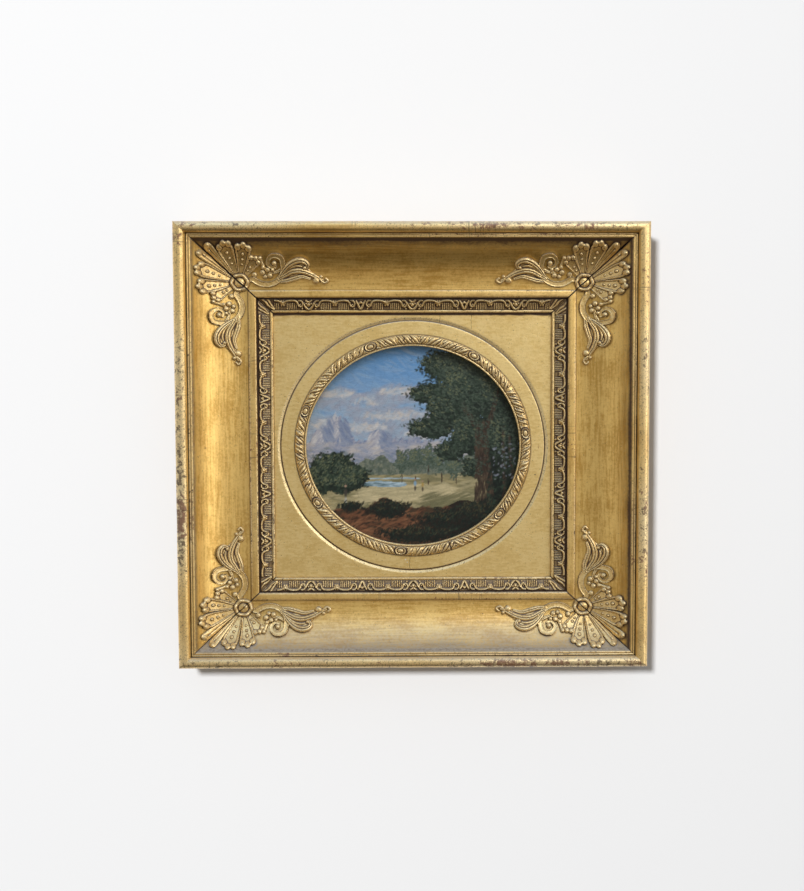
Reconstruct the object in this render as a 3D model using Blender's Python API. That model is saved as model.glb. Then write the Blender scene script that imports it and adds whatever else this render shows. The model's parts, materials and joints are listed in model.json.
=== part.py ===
"""Small landscape painting in a gilt cove frame with an oval opening.

Metres, +Z up. The picture faces -Y and its flat back lies on the plane Y = 0.
The origin is on the back of the top rail, where the frame hangs.
Distances across a rail run from the frame's outer edge inwards, and are given for the side rails.
The rails above and below are a little narrower, so the same distances are drawn closer there.
Heights are measured from the back of the frame towards the viewer.
"""
import math

import bmesh
import bpy
from mathutils import Vector
from mathutils.geometry import delaunay_2d_cdt

mm = 0.001

# Outside of the frame, and how far its top edge is above the point that it hangs from
frame_width = 380 * mm
frame_height = 358 * mm
hanging_drop = 30 * mm

# Width of the rails above and below, as a share of the side rails' width
cross_share = 0.925

# Widths across a side rail, one after another from the outer edge
torus_radius = 4.9 * mm
quirk_width = 0.4 * mm
fillet_width = 3.2 * mm
cove_lead = 0.5 * mm
cove_width = 42.6 * mm
inner_fillet_width = 6.5 * mm
undercut_width = 2.1 * mm
band_width = 8.4 * mm
sight_fillet_width = 2.3 * mm

# Thicknesses and steps, one after another from the back
panel_recess = 0.6 * mm
panel_thickness = 4.4 * mm
slip_thickness = 7.0 * mm
sight_lip_thickness = 3.2 * mm
sight_fillet_step = 1.5 * mm
band_rise = 2.9 * mm
inner_fillet_rise = 5.1 * mm
inner_fillet_step = 2.8 * mm
cove_drop = 23.7 * mm
fillet_step = 0.8 * mm
torus_rise = 0.6 * mm

# Shape of the edges
side_inset = 0.9 * mm
face_lean = 0.1 * mm
inner_fillet_round = 0.8 * mm
sight_round = 0.6 * mm
torus_start_angle = 215
torus_end_angle = -25
torus_steps = 12
cove_steps = 12

# Rebate that holds the slip and the painted panel
rebate_lap = 6.3 * mm
rebate_clearance = 0.5 * mm

# Gaps between the pieces
mitre_gap = 0.5 * mm
seat_gap = 0.3 * mm
ornament_gap = 0.45 * mm

# Oval opening in the slip: how far its edge is from the frame's sight edge
oval_side_margin = 25.9 * mm
oval_cross_margin = 26.7 * mm
oval_steps = 44

# Incised line round the opening
groove_margin = 4.6 * mm
groove_width = 2.6 * mm
groove_depth = 1.1 * mm

# Ring moulding round the opening
ring_width = 9.2 * mm
ring_lip_width = 1.6 * mm
ring_lip_height = 1.0 * mm
ring_height = 3.6 * mm
ring_relief = 1.1 * mm
ring_overhang = 0.3 * mm
ring_repeats = 7
ring_steps_per_repeat = 6
ring_shoulder_share = 0.72
ring_shoulder_place = 0.35
ring_boss_share = 0.65

# Thickness of the raised ornament at its rim and along its ridges
relief_rim = 0.7 * mm
stem_crest = 2.4 * mm
leaf_crest = 2.5 * mm
tendril_crest = 1.7 * mm
boss_crest = 2.8 * mm
petal_crests = (1.2 * mm, 2.5 * mm, 2.0 * mm)
rosette_seat = 1.5 * mm
rosette_rise = 1.8 * mm
crack_floor = 0.5 * mm
band_ground = 1.0 * mm
band_crest = 2.6 * mm
bead_crest = 2.8 * mm

# The corner ornament is drawn on squares, this many to the width of the cove.
# Its drawing starts at the inner corner of the cove: along one rail, then out across it.
corner_squares = 42.6
rosette_out = 6.5
rosette_radius = 8.2
rosette_tube = 2.0
rosette_button = 3.4
rosette_sides = 10
crack_width = 0.7
crack_reach = 7.5
petal_lap = 2.2
petal_roll = 3.4
scroll_centre = (15.2, 18.9)
scroll_radius = 14.0
scroll_turn = (-138, 14)
scroll_steps = 5
volute_centre = (22.1, 23.1)
volute_radius = 6.2
volute_end_radius = 3.6
volute_turn = (52, 235)
volute_steps = 3
stem_half_width = 2.6
stem_end_half_width = 1.4
boss_sides = 5

# Each petal's turn away from the mitre, its length and its half width at the tip
petals = ((6.5, 38.0, 3.3), (26.0, 33.0, 5.0), (54.0, 28.5, 5.2), (79.0, 22.5, 4.3))
petal_half_shares = (0.24, 1.0, 0.62)

# Width of the strip along the mitre in which the relief turns from one rail to the other
mitre_blend = 20.0

# How much the relief is raised towards the viewer rather than square to the cove
viewer_bias = 0.6

# The carved band is drawn on squares, this many to its width, with this many to a repeat
band_squares = 8.4
band_repeat_squares = 84.5
cluster_room = 6.0
arch_room = 1.0

merge_distance = 1e-4
rim_allowance = 1.001


def clear_scene():
    for old in list(bpy.data.objects):
        bpy.data.objects.remove(old, do_unlink=True)


def new_collection(name):
    collection = bpy.data.collections.new(name)
    bpy.context.scene.collection.children.link(collection)
    return collection


def make_material(name, colour, roughness, metallic):
    material = bpy.data.materials.new(name)
    material.use_nodes = True
    shader = material.node_tree.nodes["Principled BSDF"]
    shader.inputs["Base Color"].default_value = (*colour, 1.0)
    shader.inputs["Roughness"].default_value = roughness
    shader.inputs["Metallic"].default_value = metallic
    return material


def add_object(name, bm, material, collection, smooth=True):
    """Put a finished bmesh into the scene as one closed body with its faces pointing out"""
    bmesh.ops.recalc_face_normals(bm, faces=bm.faces)
    mesh = bpy.data.meshes.new(name)
    bm.to_mesh(mesh)
    bm.free()
    mesh.materials.append(material)
    thing = bpy.data.objects.new(name, mesh)
    collection.objects.link(thing)
    if smooth:
        mesh.shade_smooth()
        mesh.set_sharp_from_angle(angle=math.radians(35))
    return thing


# Places on the frame

half_width = frame_width / 2
half_height = frame_height / 2
centre_z = hanging_drop - half_height

fillet_start = 2 * torus_radius + quirk_width
fillet_end = fillet_start + fillet_width
cove_start = fillet_end + cove_lead
cove_end = cove_start + cove_width
inner_fillet_end = cove_end + inner_fillet_width
band_start = inner_fillet_end + undercut_width
band_end = band_start + band_width
side_rail_width = band_end + sight_fillet_width
cross_rail_width = side_rail_width * cross_share
rebate_start = side_rail_width - rebate_lap

ledge_height = panel_recess + panel_thickness + slip_thickness + 2 * seat_gap
sight_fillet_height = ledge_height + sight_lip_thickness
band_inner_height = sight_fillet_height - sight_fillet_step
band_outer_height = band_inner_height + band_rise
inner_fillet_height = band_outer_height + inner_fillet_rise
cove_low_height = inner_fillet_height - inner_fillet_step
fillet_height = cove_low_height + cove_drop + fillet_step
torus_height = fillet_height + torus_rise

mitre_setback = mitre_gap / math.sqrt(2)


def corner_point(side, end, across_side, across_cross, height):
    """A point given by its distances from the outer edges that meet at one corner"""
    x = side * (half_width - across_side)
    z = centre_z + end * (half_height - across_cross * cross_share)
    return Vector((x, -height, z))


def rail_point(rail, along, across, height):
    """A point on one rail: along it from its middle, across it from the outer edge"""
    if rail == "top":
        return Vector((along, -height, centre_z + half_height - across * cross_share))
    if rail == "bottom":
        return Vector((along, -height, centre_z - half_height + across * cross_share))
    if rail == "left":
        return Vector((-half_width + across, -height, centre_z + along * cross_share))
    return Vector((half_width - across, -height, centre_z + along * cross_share))


def rail_half_length(rail):
    return half_width if rail in ("top", "bottom") else half_height / cross_share


# Rails

cove_radius = (cove_width ** 2 + cove_drop ** 2) / (2 * cove_drop)


def cove_height(across):
    """The cove is a hollow arc that runs out level at its inner edge"""
    run = cove_end - across
    return cove_low_height + cove_radius - math.sqrt(cove_radius ** 2 - run ** 2)


def cove_slope(across):
    """Angle by which the cove's surface leans towards the opening"""
    return math.asin(max(0.0, cove_end - across) / cove_radius)


def rail_profile():
    """Outline of a side rail's section: distance from the outer edge, height above the back"""
    points = [(side_inset, 0.0)]
    turn = (torus_end_angle - torus_start_angle) / torus_steps
    for step in range(torus_steps + 1):
        angle = math.radians(torus_start_angle + turn * step)
        points.append((torus_radius + torus_radius * math.cos(angle),
                       torus_height + torus_radius * math.sin(angle)))
    quirk_height = points[-1][1]
    points += [(fillet_start - face_lean, quirk_height),
               (fillet_start, fillet_height),
               (fillet_end, fillet_height)]
    for step in range(cove_steps + 1):
        across = cove_start + cove_width * step / cove_steps
        points.append((across, cove_height(across)))
    points += [(cove_end + face_lean, inner_fillet_height - inner_fillet_round),
               (cove_end + face_lean + inner_fillet_round, inner_fillet_height),
               (inner_fillet_end - inner_fillet_round, inner_fillet_height),
               (inner_fillet_end, inner_fillet_height - inner_fillet_round),
               (inner_fillet_end + face_lean, band_outer_height),
               (band_start, band_outer_height),
               (band_end, band_inner_height),
               (band_end + face_lean, sight_fillet_height),
               (side_rail_width - sight_round, sight_fillet_height),
               (side_rail_width, sight_fillet_height - sight_round),
               (side_rail_width, ledge_height),
               (rebate_start, ledge_height),
               (rebate_start, 0.0)]
    return points


def make_rail(rail, material, collection):
    """The section drawn out along the rail, with both ends cut to the mitre"""
    bm = bmesh.new()
    profile = rail_profile()
    loops = []
    for end in (-1, 1):
        loop = []
        for across, height in profile:
            along = end * (rail_half_length(rail) - across - mitre_setback)
            loop.append(bm.verts.new(rail_point(rail, along, across, height)))
        bm.faces.new(loop)
        loops.append(loop)
    count = len(profile)
    for index in range(count):
        following = (index + 1) % count
        bm.faces.new((loops[0][index], loops[0][following], loops[1][following], loops[1][index]))
    bmesh.ops.triangulate(bm, faces=[face for face in bm.faces if len(face.verts) > 4])
    return add_object("rail_" + rail, bm, material, collection)


# Relief: flat shapes that overlap, raised by height functions and laid on a surface

def dome(centre, radius, crest):
    """A rounded boss: its outline, its middle point and its height function"""
    outline = []
    for side in range(boss_sides):
        angle = math.tau * side / boss_sides
        outline.append(centre + radius * Vector((math.cos(angle), math.sin(angle))))

    def height(point):
        share = (point - centre).length / radius
        if share > rim_allowance:
            return 0.0
        return relief_rim + (crest - relief_rim) * math.sqrt(max(0.0, 1 - share ** 2))

    return [outline], [[centre]], height


def stroke(path, half_widths, crests, flat=False):
    """A strip along a path, rounded up to a ridge on its centre line or flat on top"""
    rows = []
    for index, point in enumerate(path):
        before = path[max(index - 1, 0)]
        after = path[min(index + 1, len(path) - 1)]
        ahead = (after - before).normalized()
        aside = Vector((-ahead.y, ahead.x)) * half_widths[index]
        rows.append((point + aside, point, point - aside))
    outlines = []
    for first, second in zip(rows, rows[1:]):
        if flat:
            outlines.append([first[0], first[2], second[2], second[0]])
        else:
            outlines.append([first[0], first[1], second[1], second[0]])
            outlines.append([first[1], first[2], second[2], second[1]])

    def height(point):
        best = 0.0
        for index in range(len(path) - 1):
            run = path[index + 1] - path[index]
            share = (point - path[index]).dot(run) / run.length_squared
            share = min(1.0, max(0.0, share))
            half = half_widths[index] * (1 - share) + half_widths[index + 1] * share
            crest = crests[index] * (1 - share) + crests[index + 1] * share
            off = (point - path[index] - run * share).length / half
            if off <= rim_allowance:
                bow = 1.0 if flat else math.sqrt(max(0.0, 1 - off ** 2))
                best = max(best, relief_rim + (crest - relief_rim) * bow)
        return best

    return outlines, [], height


def arc(centre, radius, end_radius, turn, steps):
    """Points on an arc, or on a spiral where its radius changes; turn holds two angles in degrees"""
    points = []
    for step in range(steps + 1):
        share = step / steps
        angle = math.radians(turn[0] + (turn[1] - turn[0]) * share)
        reach = radius + (end_radius - radius) * share
        points.append((centre[0] + reach * math.cos(angle), centre[1] + reach * math.sin(angle)))
    return points


def taper(start, end, count):
    return [start + (end - start) * index / (count - 1) for index in range(count)]


def signed_area(outline):
    total = 0.0
    for first, second in zip(outline, outline[1:] + outline[:1]):
        total += first[0] * second[1] - second[0] * first[1]
    return total / 2


def triangulate_shapes(outlines, lines):
    """Corners and triangles that fill the union of the outlines, with the lines as edges"""
    points = []
    edges = []
    faces = []
    for outline in outlines:
        if signed_area(outline) < 0:
            outline = outline[::-1]
        faces.append(list(range(len(points), len(points) + len(outline))))
        points += outline
    for line in lines:
        edges += [(index, index + 1) for index in range(len(points), len(points) + len(line) - 1)]
        points += line
    found = delaunay_2d_cdt(points, edges, faces, 1, merge_distance, True)
    corners, triangles, sources = found[0], found[2], found[5]
    return corners, [triangle for triangle, source in zip(triangles, sources) if source]


def rim_edges(triangles):
    """Edges with a triangle on one side only, in the direction of that triangle"""
    directed = set()
    for a, b, c in triangles:
        directed.update(((a, b), (b, c), (c, a)))
    return [edge for edge in directed if (edge[1], edge[0]) not in directed]


def inside_rim(point, corners, rim):
    crossings = 0
    for a, b in rim:
        first, second = corners[a], corners[b]
        if (first.y > point.y) != (second.y > point.y):
            share = (point.y - first.y) / (second.y - first.y)
            if first.x + share * (second.x - first.x) > point.x:
                crossings += 1
    return crossings % 2 == 1


def relief_solid(name, shapes, lines, height_at, place, material, collection):
    """A closed body: the raised shapes on top, straight walls round them, a plain underside"""
    outlines = [outline for shape in shapes for outline in shape[0]]
    for shape in shapes:
        lines = lines + shape[1]
    corners, triangles = triangulate_shapes(outlines, lines)
    rim = sorted(rim_edges(triangles))
    bm = bmesh.new()
    top = {}
    for index in sorted({corner for triangle in triangles for corner in triangle}):
        top[index] = bm.verts.new(place(corners[index], height_at(corners[index])))
    bottom = {}
    for index in sorted({corner for edge in rim for corner in edge}):
        bottom[index] = bm.verts.new(place(corners[index], 0.0))
    for triangle in triangles:
        bm.faces.new([top[index] for index in triangle])
    for a, b in rim:
        bm.faces.new((top[b], top[a], bottom[a], bottom[b]))
    order = sorted(bottom)
    number = {index: rank for rank, index in enumerate(order)}
    rim_lines = [(number[a], number[b]) for a, b in rim]
    base = delaunay_2d_cdt([corners[index] for index in order], rim_lines, [], 0, merge_distance, True)
    for triangle in base[2]:
        middle = sum((base[0][index] for index in triangle), Vector((0.0, 0.0))) / 3
        if inside_rim(middle, corners, rim):
            bm.faces.new([bottom[order[base[3][index][0]]] for index in reversed(triangle)])
    bmesh.ops.triangulate(bm, faces=[face for face in bm.faces if len(face.verts) > 3])
    return add_object(name, bm, material, collection)


# Corner ornaments

rosette_centre = Vector((-rosette_out, -rosette_out))


def petal_shape(turn, length, half_tip):
    """One petal from under the rosette outwards, swelling and rising to a rolled tip"""
    angle = math.radians(225 + turn)
    ahead = Vector((math.cos(angle), math.sin(angle)))
    path = [rosette_centre + ahead * reach
            for reach in (rosette_radius - petal_lap, length - petal_roll, length)]
    return stroke(path, [half_tip * share for share in petal_half_shares], petal_crests, flat=True)


def arm_shapes(swapped):
    """Scroll, berries and acanthus leaf along one rail; swapped turns the drawing onto the other"""

    def at(along, out):
        return Vector((-out, along)) if swapped else Vector((along, -out))

    def leaf(knots, start_half, end_half, crest, flat=False):
        path = [at(*knot) for knot in knots]
        return stroke(path, taper(start_half, end_half, len(path)), [crest] * len(path), flat)

    def boss(along, out, radius):
        return dome(at(along, out), radius, boss_crest)

    root = (rosette_radius * 0.86 - rosette_out, rosette_out + rosette_radius * 0.2)
    stem = arc(scroll_centre, scroll_radius, scroll_radius, scroll_turn, scroll_steps)
    volute = arc(volute_centre, volute_radius, volute_end_radius, volute_turn, volute_steps)
    shapes = [leaf([root] + stem + volute, stem_half_width, stem_end_half_width, stem_crest)]

    # Eye of the volute, curl by the rosette and two berries
    shapes += [boss(22.1, 23.1, 2.9), boss(5.9, 13.3, 2.4), boss(12.7, 14.7, 2.6), boss(18.1, 11.9, 2.6)]

    # Two tendrils
    shapes += [leaf(((11.5, 26.5), (13.1, 21.1), (15.5, 15.5)), 1.3, 1.3, tendril_crest, flat=True),
               leaf(((27.9, 17.5), (21.5, 14.5), (14.5, 14.1)), 1.4, 1.4, tendril_crest, flat=True)]

    # Acanthus leaf in three lobes, with a bud and a rolled tip
    shapes += [leaf(((25.5, 6.1), (37.5, 11.5), (50.5, 10.1)), 2.4, 1.4, tendril_crest, flat=True),
               leaf(((27.5, 9.5), (35.5, 16.9), (44.5, 17.7), (53.5, 13.5), (62.5, 7.7)),
                    3.4, 1.5, stem_crest),
               leaf(((28.5, 13.5), (35.0, 21.9), (43.5, 25.5), (49.1, 20.5)), 3.2, 2.0, leaf_crest),
               boss(55.5, 8.5, 2.9),
               boss(62.9, 7.5, 2.2)]
    return shapes


def rosette_height(point):
    """Half round ring with a domed button in it"""
    reach = (point - rosette_centre).length
    if reach > rosette_radius * rim_allowance:
        return 0.0
    if reach < rosette_button:
        off = reach / rosette_button
    else:
        off = abs(reach - (rosette_radius - rosette_tube)) / rosette_tube
    return rosette_seat + rosette_rise * math.sqrt(max(0.0, 1 - off ** 2))


def rosette_rings():
    """The rosette's outline, and the circles where its height turns"""
    rings = []
    for radius in (rosette_radius, rosette_radius - rosette_tube, rosette_button):
        ring = []
        for side in range(rosette_sides):
            angle = math.tau * side / rosette_sides
            ring.append(rosette_centre + radius * Vector((math.cos(angle), math.sin(angle))))
        rings.append(ring)
    return rings


def crack_lines():
    """The two edges and the bottom of the crack that runs along the mitre through the rosette"""
    lines = []
    for offset in (-1, 0, 1):
        aside = Vector((-1, 1)) * (offset * crack_width / 2 / math.sqrt(2))
        lines.append([rosette_centre + aside + Vector((reach, reach))
                      for reach in (-crack_reach, crack_reach)])
    return lines


def make_corner(name, side, end, material, collection):
    shapes = []
    for swapped in (False, True):
        for turn, length, half_tip in petals:
            shapes.append(petal_shape(turn if swapped else -turn, length, half_tip))
        shapes += arm_shapes(swapped)
    rings = rosette_rings()
    shapes.append(([rings[0]], [ring + ring[:1] for ring in rings[1:]], rosette_height))
    square = cove_width / corner_squares

    def height_at(point):
        off_mitre = abs(point.x - point.y) / math.sqrt(2)
        if off_mitre < crack_width / 4:
            return crack_floor
        return max([crack_floor] + [shape[2](point) for shape in shapes])

    def place(point, height):
        across = cove_end + min(point.x, point.y) * square
        slope = cove_slope(across)
        lean = Vector((math.sin(slope), math.cos(slope) + viewer_bias)).normalized()
        raised = ornament_gap + height
        share = min(1.0, max(0.0, 0.5 + (point.y - point.x) / mitre_blend))
        return corner_point(side, end,
                            cove_end + point.x * square + raised * lean.x * share,
                            cove_end + point.y * square + raised * lean.x * (1 - share),
                            cove_height(min(across, cove_end)) + raised * lean.y)

    return relief_solid(name, shapes, crack_lines(), height_at, place, material, collection)


# Carved band

def cluster_shapes(here, deep):
    """Two facing curls with a leaf between them; the deep one dips towards the sight fillet"""
    shapes = []
    for side in (-1, 1):
        curl = [here(side * along, across) for along, across in ((9.0, 1.6), (5.2, 3.9), (9.0, 6.4))]
        shapes.append(stroke(curl, taper(0.9, 0.7, len(curl)), [band_crest] * len(curl)))
        if deep:
            arm = [here(side * 0.4, 7.2), here(side * 3.6, 3.0)]
        else:
            arm = [here(side * 0.2, 6.8), here(side * 3.2, 1.4)]
        shapes.append(stroke(arm, taper(0.9, 0.8, len(arm)), [band_crest] * len(arm)))
    return shapes


def bead_shapes(here, room):
    """A bead with an arch on either side, as far as there is room for them"""
    shapes = [dome(here(0.0, 3.9), 2.3, bead_crest)]
    for side in (-1, 1):
        arch = [here(side * along, across) for along, across in ((2.0, 1.9), (6.2, 1.1), (10.4, 3.0))]
        if abs(arch[-1].x) < room:
            shapes.append(stroke(arch, [0.7] * len(arch), [band_crest] * len(arch)))
    return shapes


def make_band(rail, material, collection):
    square = band_width / band_squares
    half_length = (rail_half_length(rail) - band_start - mitre_setback) / square
    near = seat_gap / square
    far = (band_width - seat_gap) / square
    strip = [Vector((near - half_length, near)), Vector((half_length - near, near)),
             Vector((half_length - far, far)), Vector((far - half_length, far))]
    shapes = [([strip], [], lambda point: band_ground)]
    quarter = band_repeat_squares / 4
    room = half_length - far
    count = int(room / quarter)
    for number in range(-count, count + 1):
        centre = number * quarter
        if abs(centre) > room - cluster_room:
            continue

        def here(along, across):
            return Vector((centre + along, across))

        if number % 2 == 0:
            shapes += cluster_shapes(here, number % 4 == 0)
        else:
            shapes += bead_shapes(here, room - arch_room)

    def height_at(point):
        return max(shape[2](point) for shape in shapes)

    def place(point, height):
        bed = band_outer_height - band_rise * point.y / band_squares
        return rail_point(rail, point.x * square, band_start + point.y * square,
                          bed + seat_gap + height)

    return relief_solid("band_" + rail, shapes, [], height_at, place, material, collection)


# Slip, ring moulding and painted panel

opening_half_x = half_width - side_rail_width
opening_half_z = half_height - cross_rail_width
oval_half_x = opening_half_x - oval_side_margin
oval_half_z = opening_half_z - oval_cross_margin
insert_half_x = half_width - rebate_start - rebate_clearance
insert_half_z = half_height - rebate_start * cross_share - rebate_clearance
slip_front = ledge_height - seat_gap
slip_back = slip_front - slip_thickness
panel_front = slip_back - seat_gap


def board(name, back, front, material, collection):
    """A flat board that fills the rebate, from one height to another"""
    bm = bmesh.new()
    bmesh.ops.create_cube(bm, size=1.0)
    for vert in bm.verts:
        vert.co = Vector((vert.co.x * 2 * insert_half_x,
                          -(front + back) / 2 + vert.co.y * (front - back),
                          centre_z + vert.co.z * 2 * insert_half_z))
    return add_object(name, bm, material, collection, smooth=False)


def oval_rings(section, steps):
    """Closed body swept round the opening; each section lists offsets outwards and heights"""
    bm = bmesh.new()
    rows = []
    for step in range(steps):
        angle = math.tau * step / steps
        row = []
        for offset, height in section(angle):
            row.append(bm.verts.new((math.cos(angle) * (oval_half_x + offset), -height,
                                     centre_z + math.sin(angle) * (oval_half_z + offset))))
        rows.append(row)
    for first, second in zip(rows, rows[1:] + rows[:1]):
        for index in range(len(first)):
            following = (index + 1) % len(first)
            bm.faces.new((first[index], first[following], second[following], second[index]))
    return bm


def cut(thing, cutter_bm, name, cutters):
    """Take a shape out of an object"""
    cutter = add_object(name, cutter_bm, thing.data.materials[0], cutters, smooth=False)
    cutter.hide_render = True
    cutter.display_type = "WIRE"
    modifier = thing.modifiers.new(name, "BOOLEAN")
    modifier.operation = "DIFFERENCE"
    modifier.solver = "EXACT"
    modifier.object = cutter


def oval_plug(back, front):
    bm = bmesh.new()
    bmesh.ops.create_cone(bm, cap_ends=True, segments=oval_steps, radius1=1.0, radius2=1.0, depth=1.0)
    for vert in bm.verts:
        height = back if vert.co.z < 0 else front
        vert.co = Vector((vert.co.x * oval_half_x, -height, centre_z + vert.co.y * oval_half_z))
    return bm


def make_slip(material, collection, cutters):
    slip = board("slip", slip_back, slip_front, material, collection)
    cut(slip, oval_plug(slip_back - slip_thickness, slip_front + slip_thickness), "opening_cutter", cutters)
    groove_offset = oval_side_margin - groove_margin
    above = slip_front + groove_depth

    def groove(angle):
        return ((groove_offset - groove_width, above),
                (groove_offset, slip_front - groove_depth),
                (groove_offset + groove_width, above))

    cut(slip, oval_rings(groove, oval_steps), "groove_cutter", cutters)
    return slip


def ring_swell(angle):
    """Bosses and leaves along the ring, as a share of its relief"""
    turn = angle * ring_repeats
    boss = max(0.0, math.cos(turn)) ** 2
    leaf = 0.5 + 0.5 * math.cos(turn * 5)
    return ring_boss_share * boss + (1 - ring_boss_share) * leaf


def make_ring(material, collection):
    seat = slip_front + seat_gap
    inner = -ring_overhang
    outer = inner + ring_width
    round_start = inner + ring_lip_width
    middle = (round_start + outer) / 2
    aside = (outer - round_start) * ring_shoulder_place

    def section(angle):
        crest = ring_height - ring_relief + ring_relief * ring_swell(angle)
        shoulder = seat + crest * ring_shoulder_share
        return ((inner, seat), (outer, seat), (middle + aside, shoulder),
                (middle, seat + crest), (middle - aside, shoulder),
                (round_start, seat + ring_lip_height), (inner, seat + ring_lip_height))

    bm = oval_rings(section, ring_repeats * ring_steps_per_repeat)
    bmesh.ops.triangulate(bm, faces=bm.faces)
    return add_object("opening_ring", bm, material, collection)


def build():
    clear_scene()
    parts = new_collection("oil_painting")
    cutters = new_collection("cutters")
    gilt = make_material("gilt", (0.72, 0.48, 0.17), 0.38, 0.9)
    ornament_gilt = make_material("ornament_gilt", (0.60, 0.38, 0.12), 0.45, 0.85)
    slip_gilt = make_material("slip_gilt", (0.70, 0.50, 0.22), 0.45, 0.85)
    paint = make_material("paint", (0.36, 0.40, 0.44), 0.5, 0.0)
    for rail in ("top", "bottom", "left", "right"):
        make_rail(rail, gilt, parts)
        make_band(rail, ornament_gilt, parts)
    for end_name, end in (("top", 1), ("bottom", -1)):
        for side_name, side in (("left", -1), ("right", 1)):
            make_corner("corner_" + end_name + "_" + side_name, side, end, ornament_gilt, parts)
    make_slip(slip_gilt, parts, cutters)
    make_ring(ornament_gilt, parts)
    board("painted_panel", panel_front - panel_thickness, panel_front, paint, parts)


build()
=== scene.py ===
"""Looks of the small landscape painting in its gilt frame.

The frame's moulding, its pressed ornaments, the oval slip and the painted panel are made here as
fine meshes that follow the solids' sizes, with worn gilding, painted highlights, dirt, painted shade, cracks
and brushwork.
Metres, +Z up, the picture faces -Y. Sizes in millimetres are named and repeated from the model.
"""
import json
import math

import bmesh
import bpy
import numpy as np
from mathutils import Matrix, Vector
from mathutils.geometry import delaunay_2d_cdt

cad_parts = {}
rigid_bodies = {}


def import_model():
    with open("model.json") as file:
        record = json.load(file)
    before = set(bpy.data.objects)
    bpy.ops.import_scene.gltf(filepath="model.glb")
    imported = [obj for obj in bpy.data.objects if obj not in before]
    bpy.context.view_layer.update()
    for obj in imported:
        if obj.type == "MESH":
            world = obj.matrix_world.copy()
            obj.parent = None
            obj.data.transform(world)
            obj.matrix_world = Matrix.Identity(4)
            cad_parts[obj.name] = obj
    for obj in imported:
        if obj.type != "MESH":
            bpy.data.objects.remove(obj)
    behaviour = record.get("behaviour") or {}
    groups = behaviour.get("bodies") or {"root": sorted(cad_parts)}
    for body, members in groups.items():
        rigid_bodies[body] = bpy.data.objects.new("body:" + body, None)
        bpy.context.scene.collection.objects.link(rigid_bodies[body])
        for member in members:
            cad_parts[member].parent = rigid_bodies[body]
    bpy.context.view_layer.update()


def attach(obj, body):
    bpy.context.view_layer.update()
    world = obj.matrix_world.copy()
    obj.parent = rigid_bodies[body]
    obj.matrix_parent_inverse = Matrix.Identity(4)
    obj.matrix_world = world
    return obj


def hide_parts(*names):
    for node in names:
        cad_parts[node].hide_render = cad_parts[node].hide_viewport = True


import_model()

mm = 0.001

# Outside of the frame and widths across a side rail, in millimetres
frame_width = 380.0
frame_height = 358.0
hanging_drop = 30.0
cross_share = 0.925
torus_radius = 4.9
quirk_width = 0.4
fillet_width = 3.2
cove_lead = 0.5
cove_width = 42.6
inner_fillet_width = 6.5
undercut_width = 2.1
band_width = 8.4
sight_fillet_width = 2.3
side_inset = 0.9
rebate_lap = 6.3
rebate_clearance = 0.5

# Thicknesses and steps, one after another from the back
panel_recess = 0.6
panel_thickness = 4.4
slip_thickness = 7.0
seat_gap = 0.3
sight_lip_thickness = 3.2
sight_fillet_step = 1.5
band_rise = 2.9
inner_fillet_rise = 5.1
inner_fillet_step = 2.8
cove_drop = 23.7
fillet_step = 0.8
torus_rise = 0.6

# Oval opening, ring moulding and groove
oval_side_margin = 25.9
oval_cross_margin = 26.7
groove_margin = 4.6
ring_width = 9.2
ring_overhang = 0.3
ring_height = 3.6

# Places that follow from them
half_width = frame_width / 2
half_height = frame_height / 2
centre_z = hanging_drop - half_height
fillet_start = 2 * torus_radius + quirk_width
fillet_end = fillet_start + fillet_width
cove_start = fillet_end + cove_lead
cove_end = cove_start + cove_width
inner_fillet_end = cove_end + inner_fillet_width
band_start = inner_fillet_end + undercut_width
band_end = band_start + band_width
side_rail_width = band_end + sight_fillet_width
rebate_start = side_rail_width - rebate_lap
ledge_height = panel_recess + panel_thickness + slip_thickness + 2 * seat_gap
sight_fillet_height = ledge_height + sight_lip_thickness
band_inner_height = sight_fillet_height - sight_fillet_step
band_outer_height = band_inner_height + band_rise
inner_fillet_height = band_outer_height + inner_fillet_rise
cove_low_height = inner_fillet_height - inner_fillet_step
fillet_height = cove_low_height + cove_drop + fillet_step
torus_height = fillet_height + torus_rise
cove_radius = (cove_width ** 2 + cove_drop ** 2) / (2 * cove_drop)
opening_half_x = half_width - side_rail_width
opening_half_z = half_height - side_rail_width * cross_share
oval_half_x = opening_half_x - oval_side_margin
oval_half_z = opening_half_z - oval_cross_margin
insert_half_x = half_width - rebate_start - rebate_clearance
insert_half_z = half_height - rebate_start * cross_share - rebate_clearance
slip_front = ledge_height - seat_gap
slip_back = slip_front - slip_thickness
panel_front = slip_back - seat_gap
panel_back = panel_front - panel_thickness


# Noise

class Noise:
    """Smooth random values in space, the same on each run"""

    def __init__(self, seed):
        self.table = np.random.default_rng(seed).permutation(512)
        self.values = np.random.default_rng(seed + 1).uniform(-1.0, 1.0, 512)

    def lattice(self, cells):
        table = self.table
        first = table[cells[..., 0] & 511]
        second = table[(first + cells[..., 1]) & 511]
        return self.values[table[(second + cells[..., 2]) & 511]]

    def at(self, points, size):
        """One octave, with features about as large as size"""
        scaled = np.asarray(points) / size
        low = np.floor(scaled).astype(np.int64)
        part = scaled - low
        part = part * part * (3 - 2 * part)
        total = np.zeros(scaled.shape[:-1])
        for corner in range(8):
            step = np.array([corner & 1, corner >> 1 & 1, corner >> 2 & 1])
            weight = np.prod(np.where(step == 1, part, 1 - part), axis=-1)
            total += weight * self.lattice(low + step)
        return total

    def layered(self, points, size, octaves=4):
        total = 0.0
        strength = 1.0
        for octave in range(octaves):
            total = total + strength * self.at(np.asarray(points) + 17.3 * octave, size / 2 ** octave)
            strength *= 0.5
        return total


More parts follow.
